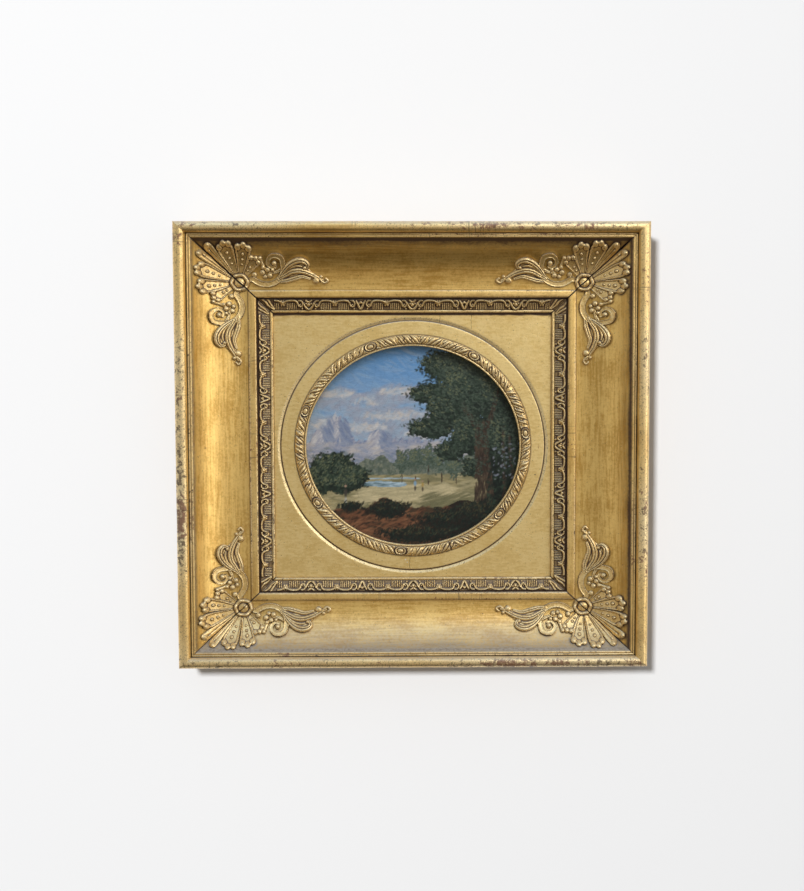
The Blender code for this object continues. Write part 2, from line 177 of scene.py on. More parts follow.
def smoothstep(low, high, value):
    share = np.clip((value - low) / (high - low), 0.0, 1.0)
    return share * share * (3 - 2 * share)


# Places on the frame, for arrays of points in millimetres

def together(first, second, third):
    """Three coordinates, each an array or a number, as one array of places"""
    return np.stack(np.broadcast_arrays(first, second, third), axis=-1)


def rail_places(rail, along, across, height):
    if rail == "top":
        x, z = along, centre_z + half_height - across * cross_share
    elif rail == "bottom":
        x, z = along, centre_z - half_height + across * cross_share
    elif rail == "left":
        x, z = -half_width + across, centre_z + along * cross_share
    else:
        x, z = half_width - across, centre_z + along * cross_share
    return together(x, -height, z)


def rail_half_length(rail):
    return half_width if rail in ("top", "bottom") else half_height / cross_share


def cove_height(across):
    run = np.clip(cove_end - across, 0.0, cove_width)
    return cove_low_height + cove_radius - np.sqrt(cove_radius ** 2 - run ** 2)


def cove_slope(across):
    return np.arcsin(np.clip(cove_end - across, 0.0, cove_width) / cove_radius)


# Meshes

attribute_kinds = {(): ("FLOAT", "value"), (3,): ("FLOAT_VECTOR", "vector"), (4,): ("FLOAT_COLOR", "color")}


def make_piece(name, node, places, faces, materials, face_materials=None, values=None, sharp=60):
    """A closed piece that stands for a node, from places in millimetres and values for its points"""
    mesh = bpy.data.meshes.new(name)
    mesh.from_pydata((np.asarray(places, dtype=float) * mm).tolist(), [], faces)
    for material in materials:
        mesh.materials.append(material)
    if face_materials is not None:
        mesh.polygons.foreach_set("material_index", np.asarray(face_materials, dtype=np.int32))
    for key, value in values.items():
        value = np.asarray(value, dtype=np.float32)
        kind, field = attribute_kinds[value.shape[1:]]
        mesh.attributes.new(key, kind, "POINT").data.foreach_set(field, value.ravel())
    mesh.update()
    mesh.shade_smooth()
    mesh.set_sharp_from_angle(angle=math.radians(sharp))
    piece = bpy.data.objects.new(name, mesh)
    bpy.context.scene.collection.objects.link(piece)

    # Every face turned outwards
    bm = bmesh.new()
    bm.from_mesh(mesh)
    bmesh.ops.recalc_face_normals(bm, faces=bm.faces)
    bm.to_mesh(mesh)
    bm.free()
    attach(piece, "root")
    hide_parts(node)


def grid_faces(rows, columns, closed=False):
    """Quads between neighbouring points stored row by row; a closed grid joins its last to its first"""
    row = np.arange(rows if closed else rows - 1)[:, None]
    column = np.arange(columns if closed else columns - 1)[None, :]
    next_row = (row + 1) % rows
    next_column = (column + 1) % columns
    faces = np.stack([row * columns + column, row * columns + next_column,
                      next_row * columns + next_column, next_row * columns + column], axis=-1)
    return faces.reshape(-1, 4).tolist()


def slab_faces(rows, columns):
    """Faces of a grid, its edge and a flat back, and which points of the grid the back repeats"""
    border = np.concatenate([np.arange(rows) * columns, (rows - 1) * columns + np.arange(1, columns),
                             np.arange(rows - 2, -1, -1) * columns + columns - 1,
                             np.arange(columns - 2, 0, -1)])
    back = rows * columns + np.arange(len(border))
    edge = np.stack([border, np.roll(border, -1), np.roll(back, -1), back], axis=-1)
    return grid_faces(rows, columns) + edge.tolist() + [back[::-1].tolist()], border


# Node materials

class Nodes:
    """Short words for building a material's nodes"""

    def __init__(self, name):
        self.material = bpy.data.materials.new(name)
        self.material.use_nodes = True
        self.tree = self.material.node_tree
        self.tree.nodes.clear()
        self.output = self.tree.nodes.new("ShaderNodeOutputMaterial")
        self.shader = self.tree.nodes.new("ShaderNodeBsdfPrincipled")
        self.tree.links.new(self.shader.outputs[0], self.output.inputs["Surface"])
        self.position = self.tree.nodes.new("ShaderNodeTexCoord").outputs["Object"]

    def link(self, value, socket):
        if isinstance(value, bpy.types.NodeSocket):
            self.tree.links.new(value, socket)
        elif isinstance(value, (tuple, list)) and len(value) == 3 and socket.type == "RGBA":
            socket.default_value = (*value, 1.0)
        else:
            socket.default_value = value

    def node(self, kind, **inputs):
        """A new node with its inputs linked or set; an underscore in a name stands for a space"""
        node = self.tree.nodes.new("ShaderNode" + kind)
        for name, value in inputs.items():
            self.link(value, node.inputs[name.replace("_", " ")])
        return node

    def stored(self, name, kind="Fac"):
        """What the mesh keeps under a name, as Fac, Vector or Color"""
        node = self.node("Attribute")
        node.attribute_name = name
        return node.outputs[kind]

    def stretched(self, vector, scale):
        return self.node("Mapping", Vector=vector, Scale=scale).outputs["Vector"]

    def noise(self, vector, size, detail=4.0, roughness=0.55, distortion=0.0):
        """Noise from 0 to 1 with features about as large as size, in metres"""
        return self.node("TexNoise", Vector=vector, Scale=1.0 / size, Detail=detail,
                         Roughness=roughness, Distortion=distortion).outputs["Fac"]

    def crackle(self, size, width):
        """Nought along a net of fine cracks and one between them"""
        node = self.node("TexVoronoi")
        node.feature = "DISTANCE_TO_EDGE"
        self.link(self.position, node.inputs["Vector"])
        self.link(1.0 / size, node.inputs["Scale"])
        return self.span(node.outputs["Distance"], 0.0, width)

    def facing_up(self):
        """How far the surface is turned upwards"""
        normal = self.node("NewGeometry").outputs["Normal"]
        return self.node("SeparateXYZ", Vector=normal).outputs["Z"]

    def math(self, operation, first, second=0.0, clamp=False):
        node = self.node("Math")
        node.operation = operation
        node.use_clamp = clamp
        self.link(first, node.inputs[0])
        self.link(second, node.inputs[1])
        return node.outputs[0]

    def times(self, first, second):
        return self.math("MULTIPLY", first, second)

    def total(self, *parts):
        """Sum of several values, each given with its share"""
        result = self.times(*parts[0])
        for value, share in parts[1:]:
            result = self.math("ADD", result, self.times(value, share))
        return result

    def most(self, *values):
        """The largest of several values"""
        result = values[0]
        for value in values[1:]:
            result = self.math("MAXIMUM", result, value)
        return result

    def span(self, value, low, high, to_low=0.0, to_high=1.0):
        """Smooth step of a value between two limits"""
        node = self.node("MapRange", Value=value, From_Min=low, From_Max=high, To_Min=to_low, To_Max=to_high)
        node.interpolation_type = "SMOOTHSTEP"
        return node.outputs["Result"]

    def mix(self, share, first, second, blend="MIX"):
        node = self.node("Mix")
        node.data_type = "RGBA"
        node.blend_type = blend
        self.link(share, node.inputs["Factor"])
        self.link(first, node.inputs[6])
        self.link(second, node.inputs[7])
        return node.outputs[2]

    def spot(self, place, x, z, radius):
        """One ragged mark at a place given in millimetres"""
        node = self.node("VectorMath")
        node.operation = "DISTANCE"
        self.link(place, node.inputs[0])
        node.inputs[1].default_value = (x * mm, z * mm, slip_front * mm)
        away = self.total((node.outputs["Value"], 1.0), (self.noise(place, 0.0012, 3.0), 0.9 * radius * mm))
        return self.span(away, 1.25 * radius * mm, 0.75 * radius * mm)

    def hairline(self, place, x, low, high):
        """One fine upright crack between two heights"""
        split = self.node("SeparateXYZ", Vector=place)
        wandering = self.total((split.outputs["X"], 1.0), (self.noise(place, 0.004, 4.0), 0.0022))
        away = self.math("ABSOLUTE", self.math("SUBTRACT", wandering, (x + 1.1) * mm))
        ends = self.times(self.span(split.outputs["Y"], (low - 0.5) * mm, low * mm),
                          self.span(split.outputs["Y"], (high + 0.5) * mm, high * mm))
        return self.times(self.span(away, 0.00024, 0.00008), ends)

    def bump(self, height, distance, strength):
        return self.node("Bump", Height=height, Distance=distance, Strength=strength).outputs["Normal"]

    def set(self, **inputs):
        for name, value in inputs.items():
            self.link(value, self.shader.inputs[name.replace("_", " ")])


# Colours of the frame
gold_light = (0.90, 0.60, 0.19)
gold_deep = (0.60, 0.345, 0.075)
# Pale gold for the painted highlight on raised, rubbed edges
painted_highlight_gold = (0.95, 0.80, 0.50)
gesso_white = (0.66, 0.60, 0.50)
# Grey mixed in where the surface faces up
facing_up_grey = (0.50, 0.46, 0.40)
bole_red = (0.16, 0.045, 0.022)
worn_brown = (0.075, 0.040, 0.018)
# Dark brown for dirt and for painted shade in the hollows
dirt_and_shade_brown = (0.066, 0.031, 0.013)


def gilt_material(name, light, deep, roughness, hollow_darkening=1.0, wear=1.0, streak=0.06, metallic=0.80,
                  facing_up_paling=0.62, holes=(), chips=(), splits=()):
    """Old gold leaf on red bole: uneven leaf, rubbed edges with a painted highlight, dark hollows of dirt and
    painted shade, fine crackle.

    Holes and chips are places with a radius, splits are upright hairlines, all in millimetres.
    """
    n = Nodes(name)
    place = n.stored("place", "Vector")
    hollow = n.stored("hollow")
    wear_and_highlight = n.stored("wear_and_highlight")
    cloudy = n.noise(n.position, 0.026, 4.0, 0.6)
    speckle = n.noise(n.position, 0.0021, 6.0, 0.68)
    brushed = n.noise(n.stretched(place, (streak, 1.0, 1.0)), 0.0018, 5.0, 0.62)
    leaf_share = n.total((cloudy, 0.32), (brushed, 0.40), (speckle, 0.28))
    leaf = n.mix(n.span(leaf_share, 0.40, 0.57), deep, light)
    # Raised, rubbed edges mixed towards pale gold: a painted highlight that goes with the wear
    leaf = n.mix(n.times(wear_and_highlight, 0.45), leaf, painted_highlight_gold)

    # Rubbed places where the bole and the brown ground show, mostly on the raised edges
    rub_noise = n.noise(n.position, 0.0042, 8.0, 0.72, 0.5)
    patches = n.noise(n.position, 0.045, 3.0, 0.5)
    rub_more = n.span(patches, 0.52, 0.70, 0.0, 0.06)
    rub_level = n.total((rub_noise, 1.0), (wear_and_highlight, -0.11 * wear), (rub_more, -1.0))
    rub_share = n.span(rub_level, 0.335, 0.265)
    bole = n.mix(n.span(patches, 0.50, 0.60), worn_brown, bole_red)
    rubbed = n.mix(n.times(rub_share, 0.85), leaf, bole)

    # Dirt and painted shade in the hollows, fine specks, and flecks and a few cracks across the raised
    # mouldings
    settled_dirt_and_shade = n.span(n.total((hollow, 1.15 * hollow_darkening), (speckle, 0.50)), 0.42, 1.02)
    specks = n.span(n.noise(n.position, 0.0012, 3.0, 0.5), 0.66, 0.74)
    flecks = n.times(n.span(n.noise(n.position, 0.0013, 5.0, 0.65), 0.54, 0.62),
                     n.span(wear_and_highlight, 0.12, 0.60, 0.0, 0.62))
    wander = n.noise(n.stretched(place, (1.0, 0.04, 0.04)), 0.014, 3.0, 0.6)
    cross_crack = n.span(n.math("ABSOLUTE", n.math("SUBTRACT", wander, 0.5)), 0.007, 0.002)
    cross_crack = n.times(cross_crack, n.span(wear_and_highlight, 0.04, 0.15))
    cross_crack = n.times(cross_crack, n.span(patches, 0.52, 0.62, 0.0, 0.60))
    dirt_and_shade_share = n.most(settled_dirt_and_shade, n.times(specks, 0.70), flecks, cross_crack)
    for x, z, radius in holes:
        dirt_and_shade_share = n.most(dirt_and_shade_share, n.spot(place, x, z, radius))
    for x, low, high in splits:
        dirt_and_shade_share = n.most(dirt_and_shade_share, n.hairline(place, x, low, high))
    colour = n.mix(dirt_and_shade_share, rubbed, dirt_and_shade_brown)

    # Paler and greyer where the surface faces up, and chips down to the gesso
    paler_facing_up = n.times(n.span(n.facing_up(), 0.10, 0.85, 0.0, facing_up_paling), n.span(speckle, 0.35, 0.60, 0.55, 1.0))
    colour = n.mix(paler_facing_up, colour, facing_up_grey)
    for x, z, radius in chips:
        chip = n.spot(place, x, z, radius)
        colour = n.mix(chip, colour, gesso_white)
        dirt_and_shade_share = n.most(dirt_and_shade_share, chip)

    covered = n.most(n.times(dirt_and_shade_share, 0.95), n.times(rub_share, 0.75), n.times(paler_facing_up, 0.9))
    metal = n.times(n.math("SUBTRACT", 1.0, covered, clamp=True), metallic)
    rough = n.math("ADD", roughness, n.times(n.math("SUBTRACT", leaf_share, 0.5), -0.30))
    rough = n.math("ADD", rough, n.times(n.most(dirt_and_shade_share, paler_facing_up), 0.30), clamp=True)
    relief = n.total((brushed, 0.30), (speckle, 0.5), (n.crackle(0.011, 0.020), 0.12), (rub_share, -0.25))
    n.set(Base_Color=colour, Metallic=metal, Roughness=rough, Normal=n.bump(relief, 0.00026, 0.7))
    n.shader.inputs["Coat Weight"].default_value = 0.30
    n.shader.inputs["Coat Roughness"].default_value = 0.34
    return n.material


def wood_material(name, light, dark):
    """Plain old softwood with long grain along the piece"""
    n = Nodes(name)
    place = n.stored("place", "Vector")
    grain = n.noise(n.stretched(place, (0.05, 1.0, 1.0)), 0.0032, 6.0, 0.65, 0.6)
    broad = n.noise(n.stretched(place, (0.10, 1.0, 1.0)), 0.020, 3.0)
    share = n.total((grain, 0.6), (broad, 0.4))
    colour = n.mix(n.span(share, 0.30, 0.72), dark, light)
    n.set(Base_Color=colour, Roughness=n.span(grain, 0.2, 0.8, 0.62, 0.80),
          Normal=n.bump(grain, 0.0003, 0.6))
    return n.material


def side_material(name):
    """Yellow wash over gesso on the outer sides, thin and scuffed"""
    n = Nodes(name)
    cloudy = n.noise(n.position, 0.018, 5.0)
    brushed = n.noise(n.stretched(n.position, (0.10, 1.0, 0.10)), 0.0016, 6.0, 0.65)
    share = n.total((cloudy, 0.35), (brushed, 0.65))
    wash = n.mix(n.span(share, 0.40, 0.60), (0.30, 0.175, 0.055), (0.47, 0.31, 0.115))
    scuff_noise = n.noise(n.stretched(n.position, (0.3, 1.0, 0.3)), 0.0045, 8.0, 0.72)
    scuff = n.span(n.total((scuff_noise, 1.0), (cloudy, 0.20)), 0.685, 0.72)
    colour = n.mix(n.times(scuff, 0.45), wash, gesso_white)
    rubbed = n.span(n.noise(n.position, 0.006, 8.0, 0.7), 0.60, 0.66)
    colour = n.mix(n.times(rubbed, 0.6), colour, bole_red)
    relief = n.total((brushed, 1.0), (scuff, -0.5))
    n.set(Base_Color=colour, Roughness=n.span(brushed, 0.3, 0.7, 0.52, 0.68),
          Normal=n.bump(relief, 0.0003, 0.6))
    return n.material


gilt = gilt_material("gilt", gold_light, gold_deep, 0.36)
ornament_gilt = gilt_material("ornament_gilt", (0.90, 0.66, 0.30), (0.66, 0.42, 0.13), 0.38,
                              hollow_darkening=1.3, wear=0.5, streak=1.0, facing_up_paling=0.34)
slip_holes = ((-79.5, 72.3, 0.8), (101.0, -24.0, 0.9), (64.0, -84.5, 0.45), (-97.0, -70.0, 0.4))
slip_chips = ((-6.4, -94.2, 1.1), (-5.0, -96.4, 0.7), (58.0, 93.0, 0.4))
slip_splits = ((48.2, 96.0, 109.0), (22.5, 99.0, 109.0), (-3.0, -101.0, -90.0))
slip_gilt = gilt_material("slip_gilt", (0.90, 0.67, 0.29), (0.75, 0.52, 0.185), 0.40, hollow_darkening=0.9, wear=0.4,
                          streak=0.28, metallic=0.72, holes=slip_holes, chips=slip_chips, splits=slip_splits)
ochre_side = side_material("ochre_side")
bare_wood = wood_material("bare_wood", (0.42, 0.27, 0.14), (0.24, 0.135, 0.06))
joint_dirt = wood_material("joint_dirt", (0.030, 0.018, 0.010), (0.012, 0.008, 0.005))


# Rails

rail_wear = {"top": 1.0, "bottom": 1.35, "left": 1.75, "right": 1.15}
# Painted shade on the outer part of each rail's cove, its strength set for each rail
cove_painted_shade = {"top": 0.62, "bottom": 0.55, "left": 0.12, "right": 0.42}


def profile_points():
    """Fine section of a rail: across, height, hollow, wear with its painted highlight, and material of the
    stretch that follows
    """
    points = [(side_inset, 0.0, 0.0, 0.0, 1), (side_inset, torus_height * 0.5, 0.0, 0.0, 1)]

    def add(from_across, from_height, *rest):
        """Points given from a corner of the section: across, height, hollow, wear with its painted highlight
        """
        for across, height, hollow, wear_and_highlight in rest:
            points.append((from_across + across, from_height + height, hollow, wear_and_highlight, 0))

    # Outer half round, and the quirk behind it
    steps = 24
    for step in range(steps + 1):
        angle = math.radians(215 - 240 * step / steps)
        crown = max(0.0, math.cos(angle - math.radians(105)))
        low = max(0.0, -math.cos(angle - math.radians(140))) ** 2 if step > steps / 2 else 0.0
        add(torus_radius, torus_height,
            (torus_radius * math.cos(angle), torus_radius * math.sin(angle), 0.9 * low, 0.85 * crown))
    quirk_height = points[-1][1]
    add(fillet_start, quirk_height, (-0.25, -0.1, 1.0, 0.0), (-0.05, 0.1, 0.9, 0.0))

    # Small fillet with a fine groove
    add(fillet_start, fillet_height, (0.0, -0.35, 0.3, 0.0), (0.12, -0.08, 0.0, 0.7), (0.4, 0.0, 0.0, 0.6))
    add(fillet_start + fillet_width * 0.48, fillet_height, (-0.35, 0.0, 0.0, 0.4), (-0.12, -0.35, 0.7, 0.0),
        (0.12, -0.40, 0.7, 0.0), (0.38, -0.12, 0.0, 0.3))
    add(fillet_end, fillet_height, (-0.35, -0.14, 0.0, 0.5), (-0.05, -0.35, 0.0, 0.5), (0.1, -0.7, 0.45, 0.0))

    # Cove
    steps = 46
    for step in range(steps + 1):
        across = cove_start + cove_width * step / steps
        edge = max(0.0, 1 - step / 3) + max(0.0, 1 - (steps - step) / 2)
        add(across, float(cove_height(across)), (0.0, 0.0, 0.5 * min(1.0, edge), 0.0))

    # Inner fillet, the bed of the carved band, and the sight fillet
    top = inner_fillet_height
    add(cove_end, top, (0.1, -0.9, 0.25, 0.0), (0.25, -0.35, 0.0, 0.6), (0.7, -0.05, 0.0, 0.7))
    for share in (0.25, 0.4, 0.55, 0.7, 0.85):
        add(cove_end, top, (inner_fillet_width * share, 0.12 * math.sin(math.pi * share), 0.0, 0.15))
    add(inner_fillet_end, top, (-0.6, -0.05, 0.0, 0.6), (-0.15, -0.4, 0.0, 0.7), (0.0, -0.9, 0.1, 0.0))
    add(inner_fillet_end, band_outer_height, (0.1, 1.2, 0.7, 0.0), (0.15, 0.0, 0.75, 0.0))
    add(band_start, band_outer_height, (0.0, 0.0, 0.8, 0.0))
    add(band_end, band_inner_height, (0.0, 0.0, 1.0, 0.0))
    add(band_end, sight_fillet_height, (0.1, -0.4, 0.5, 0.0), (0.3, -0.05, 0.0, 0.6))
    add(side_rail_width, sight_fillet_height, (-0.8, 0.0, 0.0, 0.5), (-0.25, -0.2, 0.0, 0.8),
        (0.0, -0.7, 0.0, 0.3))
    for across, height in ((side_rail_width, ledge_height), (rebate_start, ledge_height),
                           (rebate_start, 0.0), (rebate_start * 0.5, 0.0)):
        points.append((across, height, 0.0, 0.0, 2))
    return np.array(points)


mitre_noise = Noise(3)
surface_noise = Noise(11)
dent_noise = Noise(23)


# Open mitres, in the order top left, top right, bottom left, bottom right
mitre_gaps = (0.42, 0.32, 0.20, 0.22)
ornament_gaps = (0.50, 0.34, 0.14, 0.18)
widest_mitre = 1


def crack_half_width(across, corner):
    """Half width of the open mitre along its length: shut at the outer edge, open in the cove"""
    open_share = smoothstep(12.0, 20.0, across)
    wide = mitre_gaps[corner] + 0.14 * mitre_noise.at(together(across, 40.0 * corner, 0.0), 7.0)
    if corner == widest_mitre:
        wide = wide + 0.35 * smoothstep(12.0, 18.0, across) * smoothstep(44.0, 24.0, across)
    return 0.02 + open_share * np.maximum(wide, 0.08)


corner_numbers = {("top", -1): 0, ("top", 1): 1, ("bottom", -1): 2, ("bottom", 1): 3,
                  ("left", 1): 0, ("right", 1): 1, ("left", -1): 2, ("right", -1): 3}


def between_mitres(rail, share, across, front=1.0):
    """Places along a rail for shares from -1 to 1 of its length, ending at the open mitres"""
    gaps = [front * crack_half_width(across, corner_numbers[rail, side]) for side in (-1, 1)]
    to_mitre = rail_half_length(rail) - across
    share = share[:, None]
    return np.where(share > 0, share * (to_mitre - gaps[1]), share * (to_mitre - gaps[0]))


def make_rail(rail):
    """One mitred rail; its stations are closer together where the corner ornaments lie"""
    profile = profile_points()
    across, height, hollow, wear_and_highlight, finish = profile.T
    front = smoothstep(6.0, 14.0, height)
    half = rail_half_length(rail)
    end_share, end_stations, middle_stations = 0.55, 95, 56
    near = np.linspace(0.0, end_share, end_stations, endpoint=False)
    middle = np.linspace(end_share - 1.0, 1.0 - end_share, middle_stations)
    share = np.concatenate([near - 1.0, middle, 1.0 - near[::-1]])
    stations = len(share)
    along = between_mitres(rail, share, across, front)
    base = rail_places(rail, along, across, height)

    # Dirt and painted shade round the corner ornaments, dirt in the joints, and painted shade on the cove
    # below the small fillet
    in_cove = (across > cove_start) * (across < cove_end)
    to_edge = corner_distance(across - cove_end, half - np.abs(along) - cove_end)
    patchy = 0.65 + 0.35 * surface_noise.layered(base + 300.0, 6.0, 3)
    # Dirt and painted shade on the cove round each corner ornament
    ornament_dirt_and_shade = 0.50 * smoothstep(2.4, -0.5, to_edge) * patchy * in_cove
    to_mitre = half - np.abs(along) - across
    joint = 0.85 * smoothstep(1.4, 0.35, to_mitre) * smoothstep(11.0, 14.0, across)
    # Painted shade on the cove's outer part, just below the small fillet
    outer_cove_shade = cove_painted_shade[rail] * smoothstep(cove_start + 17.0, cove_start, across) * in_cove
    outer_cove_shade = outer_cove_shade * (0.85 + 0.15 * surface_noise.layered(base * [0.2, 1.0, 0.2] + 90.0, 5.0, 3))
    hollow_dirt_and_shade = np.minimum(1.0, np.maximum(np.maximum(hollow, ornament_dirt_and_shade), joint) + outer_cove_shade)
    own_row = len(rail)
    slow = mitre_noise.at(together(along / 70.0, 0.0, own_row), 1.0)
    scaled_wear_and_highlight = wear_and_highlight * rail_wear[rail] * np.clip(1.0 + 0.75 * slow, 0.4, 1.7)

    # Uneven gesso, and dents where the half round has been knocked
    ahead = np.roll(profile[:, :2], -1, axis=0) - np.roll(profile[:, :2], 1, axis=0)
    outward = np.stack([-ahead[:, 1], ahead[:, 0]], -1)
    outward /= np.linalg.norm(outward, axis=1)[:, None] + 1e-9
    swell = 0.10 * surface_noise.layered(base, 26.0, 3) + 0.03 * surface_noise.layered(base + 60.0, 4.0, 2)
    knocks = smoothstep(0.45, 0.95, dent_noise.layered(base, 9.0, 3)) * wear_and_highlight * 0.30
    lift = (swell - knocks) * front * (finish == 0)
    moved_across = np.maximum(across + outward[:, 0] * lift, 0.02)
    moved_height = np.minimum(height + outward[:, 1] * lift, torus_height + torus_radius - 0.02)
    places = rail_places(rail, along, moved_across, moved_height)
    count = len(profile)
    sides = (stations - 1) * count
    faces = grid_faces(stations, count, closed=True)[:sides]
    faces += [list(range(count)), list(range(sides, sides + count))]
    cut_end = 3
    finishes = np.concatenate([np.tile(finish.astype(int), stations - 1), [cut_end, cut_end]])
    values = {"hollow": hollow_dirt_and_shade.ravel(), "wear_and_highlight": scaled_wear_and_highlight.ravel(),
              "place": together(along, across, height).reshape(-1, 3) * mm}
    make_piece("moulding_" + rail, "rail_" + rail, places.reshape(-1, 3), faces,
               [gilt, ochre_side, bare_wood, joint_dirt], finishes, values)


# Relief: raised strokes and bosses on a grid of points

no_relief = -9.0
relief_rim = 0.5


def curve_through(knots, steps=5):
    """A smooth path through the knots; each knot is a place and a half width"""
    knots = np.array(knots, dtype=float)
    padded = np.vstack([2 * knots[0] - knots[1], knots, 2 * knots[-1] - knots[-2]])
    path = []
    for index in range(1, len(padded) - 2):
        a, b, c, d = padded[index - 1:index + 3]
        for step in range(steps):
            t = step / steps
            path.append(0.5 * (2 * b + (c - a) * t + (2 * a - 5 * b + 4 * c - d) * t ** 2
                               + (3 * b - a - 3 * c + d) * t ** 3))
    path.append(knots[-1])
    return np.array(path)


class Relief:
    """Height and signed distance to the outline, on a grid of points"""

    def __init__(self, x, y):
        self.x, self.y = x, y
        self.height = np.full(x.shape, no_relief)
        self.distance = np.full(x.shape, 9.0)

    def add(self, window, distance, height):
        """Join a shape to the relief; its own outline is where its distance is nought"""
        inside = distance < 0.25
        seen = self.height[window]
        self.height[window] = np.where(inside, np.maximum(seen, height), seen)
        self.distance[window] = np.minimum(self.distance[window], distance)

    def window(self, low, high, margin):
        xs, ys = self.x[:, 0], self.y[0, :]
        i = np.searchsorted(xs, (low[0] - margin, high[0] + margin))
        j = np.searchsorted(ys, (low[1] - margin, high[1] + margin))
        return slice(i[0], i[1]), slice(j[0], j[1])

    def stroke(self, knots, crest, steps=5, end_crest=None, section=None, base=relief_rim):
        """A strip along a curve; section gives the share of its height at shares across and along it"""
        path = curve_through(knots, steps)
        reach = path[:, 2].max()
        window = self.window(path[:, :2].min(0), path[:, :2].max(0), reach + 3.2)
        x, y = self.x[window], self.y[window]
        best = np.full(x.shape, 9.0)
        across = np.zeros(x.shape)
        along = np.zeros(x.shape)
        total = len(path) - 1
        for index in range(total):
            start, finish = path[index], path[index + 1]
            run = finish[:2] - start[:2]
            length = np.hypot(*run) + 1e-9
            t = ((x - start[0]) * run[0] + (y - start[1]) * run[1]) / length ** 2
            t = np.clip(t, 0.0, 1.0)
            dx = x - start[0] - run[0] * t
            dy = y - start[1] - run[1] * t
            half = start[2] + (finish[2] - start[2]) * t
            off = np.hypot(dx, dy)
            distance = off - half
            side = np.sign(run[0] * dy - run[1] * dx)
            closer = distance < best
            best = np.where(closer, distance, best)
            across = np.where(closer, side * off / half, across)
            along = np.where(closer, (index + t) / total, along)
        bow = section(np.clip(across, -1, 1), along) if section else domed(across)
        peak = crest + ((end_crest or crest) - crest) * along
        self.add(window, best, base + (peak - base) * bow)

    def boss(self, x, y, radius, crest, base=relief_rim, dimple=0.0):
        """A round domed boss"""
        reach = radius * 1.3
        window = self.window((x - reach, y - reach), (x + reach, y + reach), 2.4)
        share = np.hypot((self.x[window] - x) / radius, (self.y[window] - y) / radius)
        bow = domed(share) - dimple * np.exp(-(share / 0.3) ** 2)
        self.add(window, (share - 1) * radius, base + (crest - base) * bow)


def domed(share):
    """Half round over shares from -1 to 1"""
    return np.sqrt(np.clip(1 - share ** 2, 0.0, 1.0))


def ribbon(across, along):
    """Flat strip with a raised rim along each edge"""
    rim = np.exp(-((np.abs(across) - 0.78) / 0.13) ** 2)
    body = smoothstep(1.0, 0.88, np.abs(across))
    return body * (0.74 + 0.26 * rim)


def fluted(across, along):
    """Rounded leaf with a vein sunk along its middle"""
    vein = 1 - 0.34 * np.exp(-(across / 0.2) ** 2)
    return domed(across) ** 0.8 * vein * (0.78 + 0.22 * np.sin(math.pi * np.clip(along, 0, 1)))


def hollowed(across, along):
    """Leaf with raised edges"""
    rim = np.exp(-((np.abs(across) - 0.84) / 0.11) ** 2)
    return smoothstep(1.0, 0.95, np.abs(across)) * (0.42 + 0.58 * rim)


# Corner ornament, drawn from the inner corner of the cove: x along one rail, y along the other

petal_reach = 42.2
arm_reach = 68.5
petals = ((6.5, 40.5, 3.6), (26.0, 34.5, 6.0), (54.0, 31.6, 6.4), (79.0, 25.0, 5.2))
rosette_out = 6.5
rosette_radius = 8.2
mitre_blend = 20.0
viewer_bias = 0.6
ornament_gap = 0.45
ornament_seat = -0.5


def add_petal(relief, turn, length, half_tip):
    """A shell petal: raised rim, hollow middle with pearls, and a tip of rolled lobes"""
    angle = math.radians(225 + turn)
    ahead = np.array([math.cos(angle), math.sin(angle)])
    aside = np.array([-ahead[1], ahead[0]])
    centre = np.array([-rosette_out, -rosette_out])

    def at(reach, off=0.0):
        return centre + ahead * reach + aside * off

    small = half_tip < 4
    widths = (0.12, 0.11) if small else (0.245, 0.235)
    knots = [(*at(6.0), 6.0 * widths[0]), (*at(length * 0.5), length * 0.5 * widths[0]),
             (*at(length * 0.8), length * 0.8 * widths[1]), (*at(length - half_tip * 0.8), half_tip * 0.98)]
    relief.stroke(knots, 1.9, section=fluted if small else hollowed, end_crest=2.5, steps=4)
    if small:
        relief.boss(*at(length - 2.0, -0.3), 2.4, 3.1, dimple=0.14)
        relief.boss(*at(length - 5.4, 1.3), 1.3, 2.7)
        return
    for number in range(3 if length > 25 else 2):
        relief.boss(*at(length * (0.50 + 0.135 * number)), 1.0 + 0.22 * number, 2.2 + 0.2 * number)
    for off, radius in ((-0.66, 0.42), (0.66, 0.42), (0.0, 0.40)):
        relief.boss(*at(length - half_tip * (0.36 if off else 0.06), off * half_tip), radius * half_tip,
                    3.1 if off else 2.9, dimple=0.12)


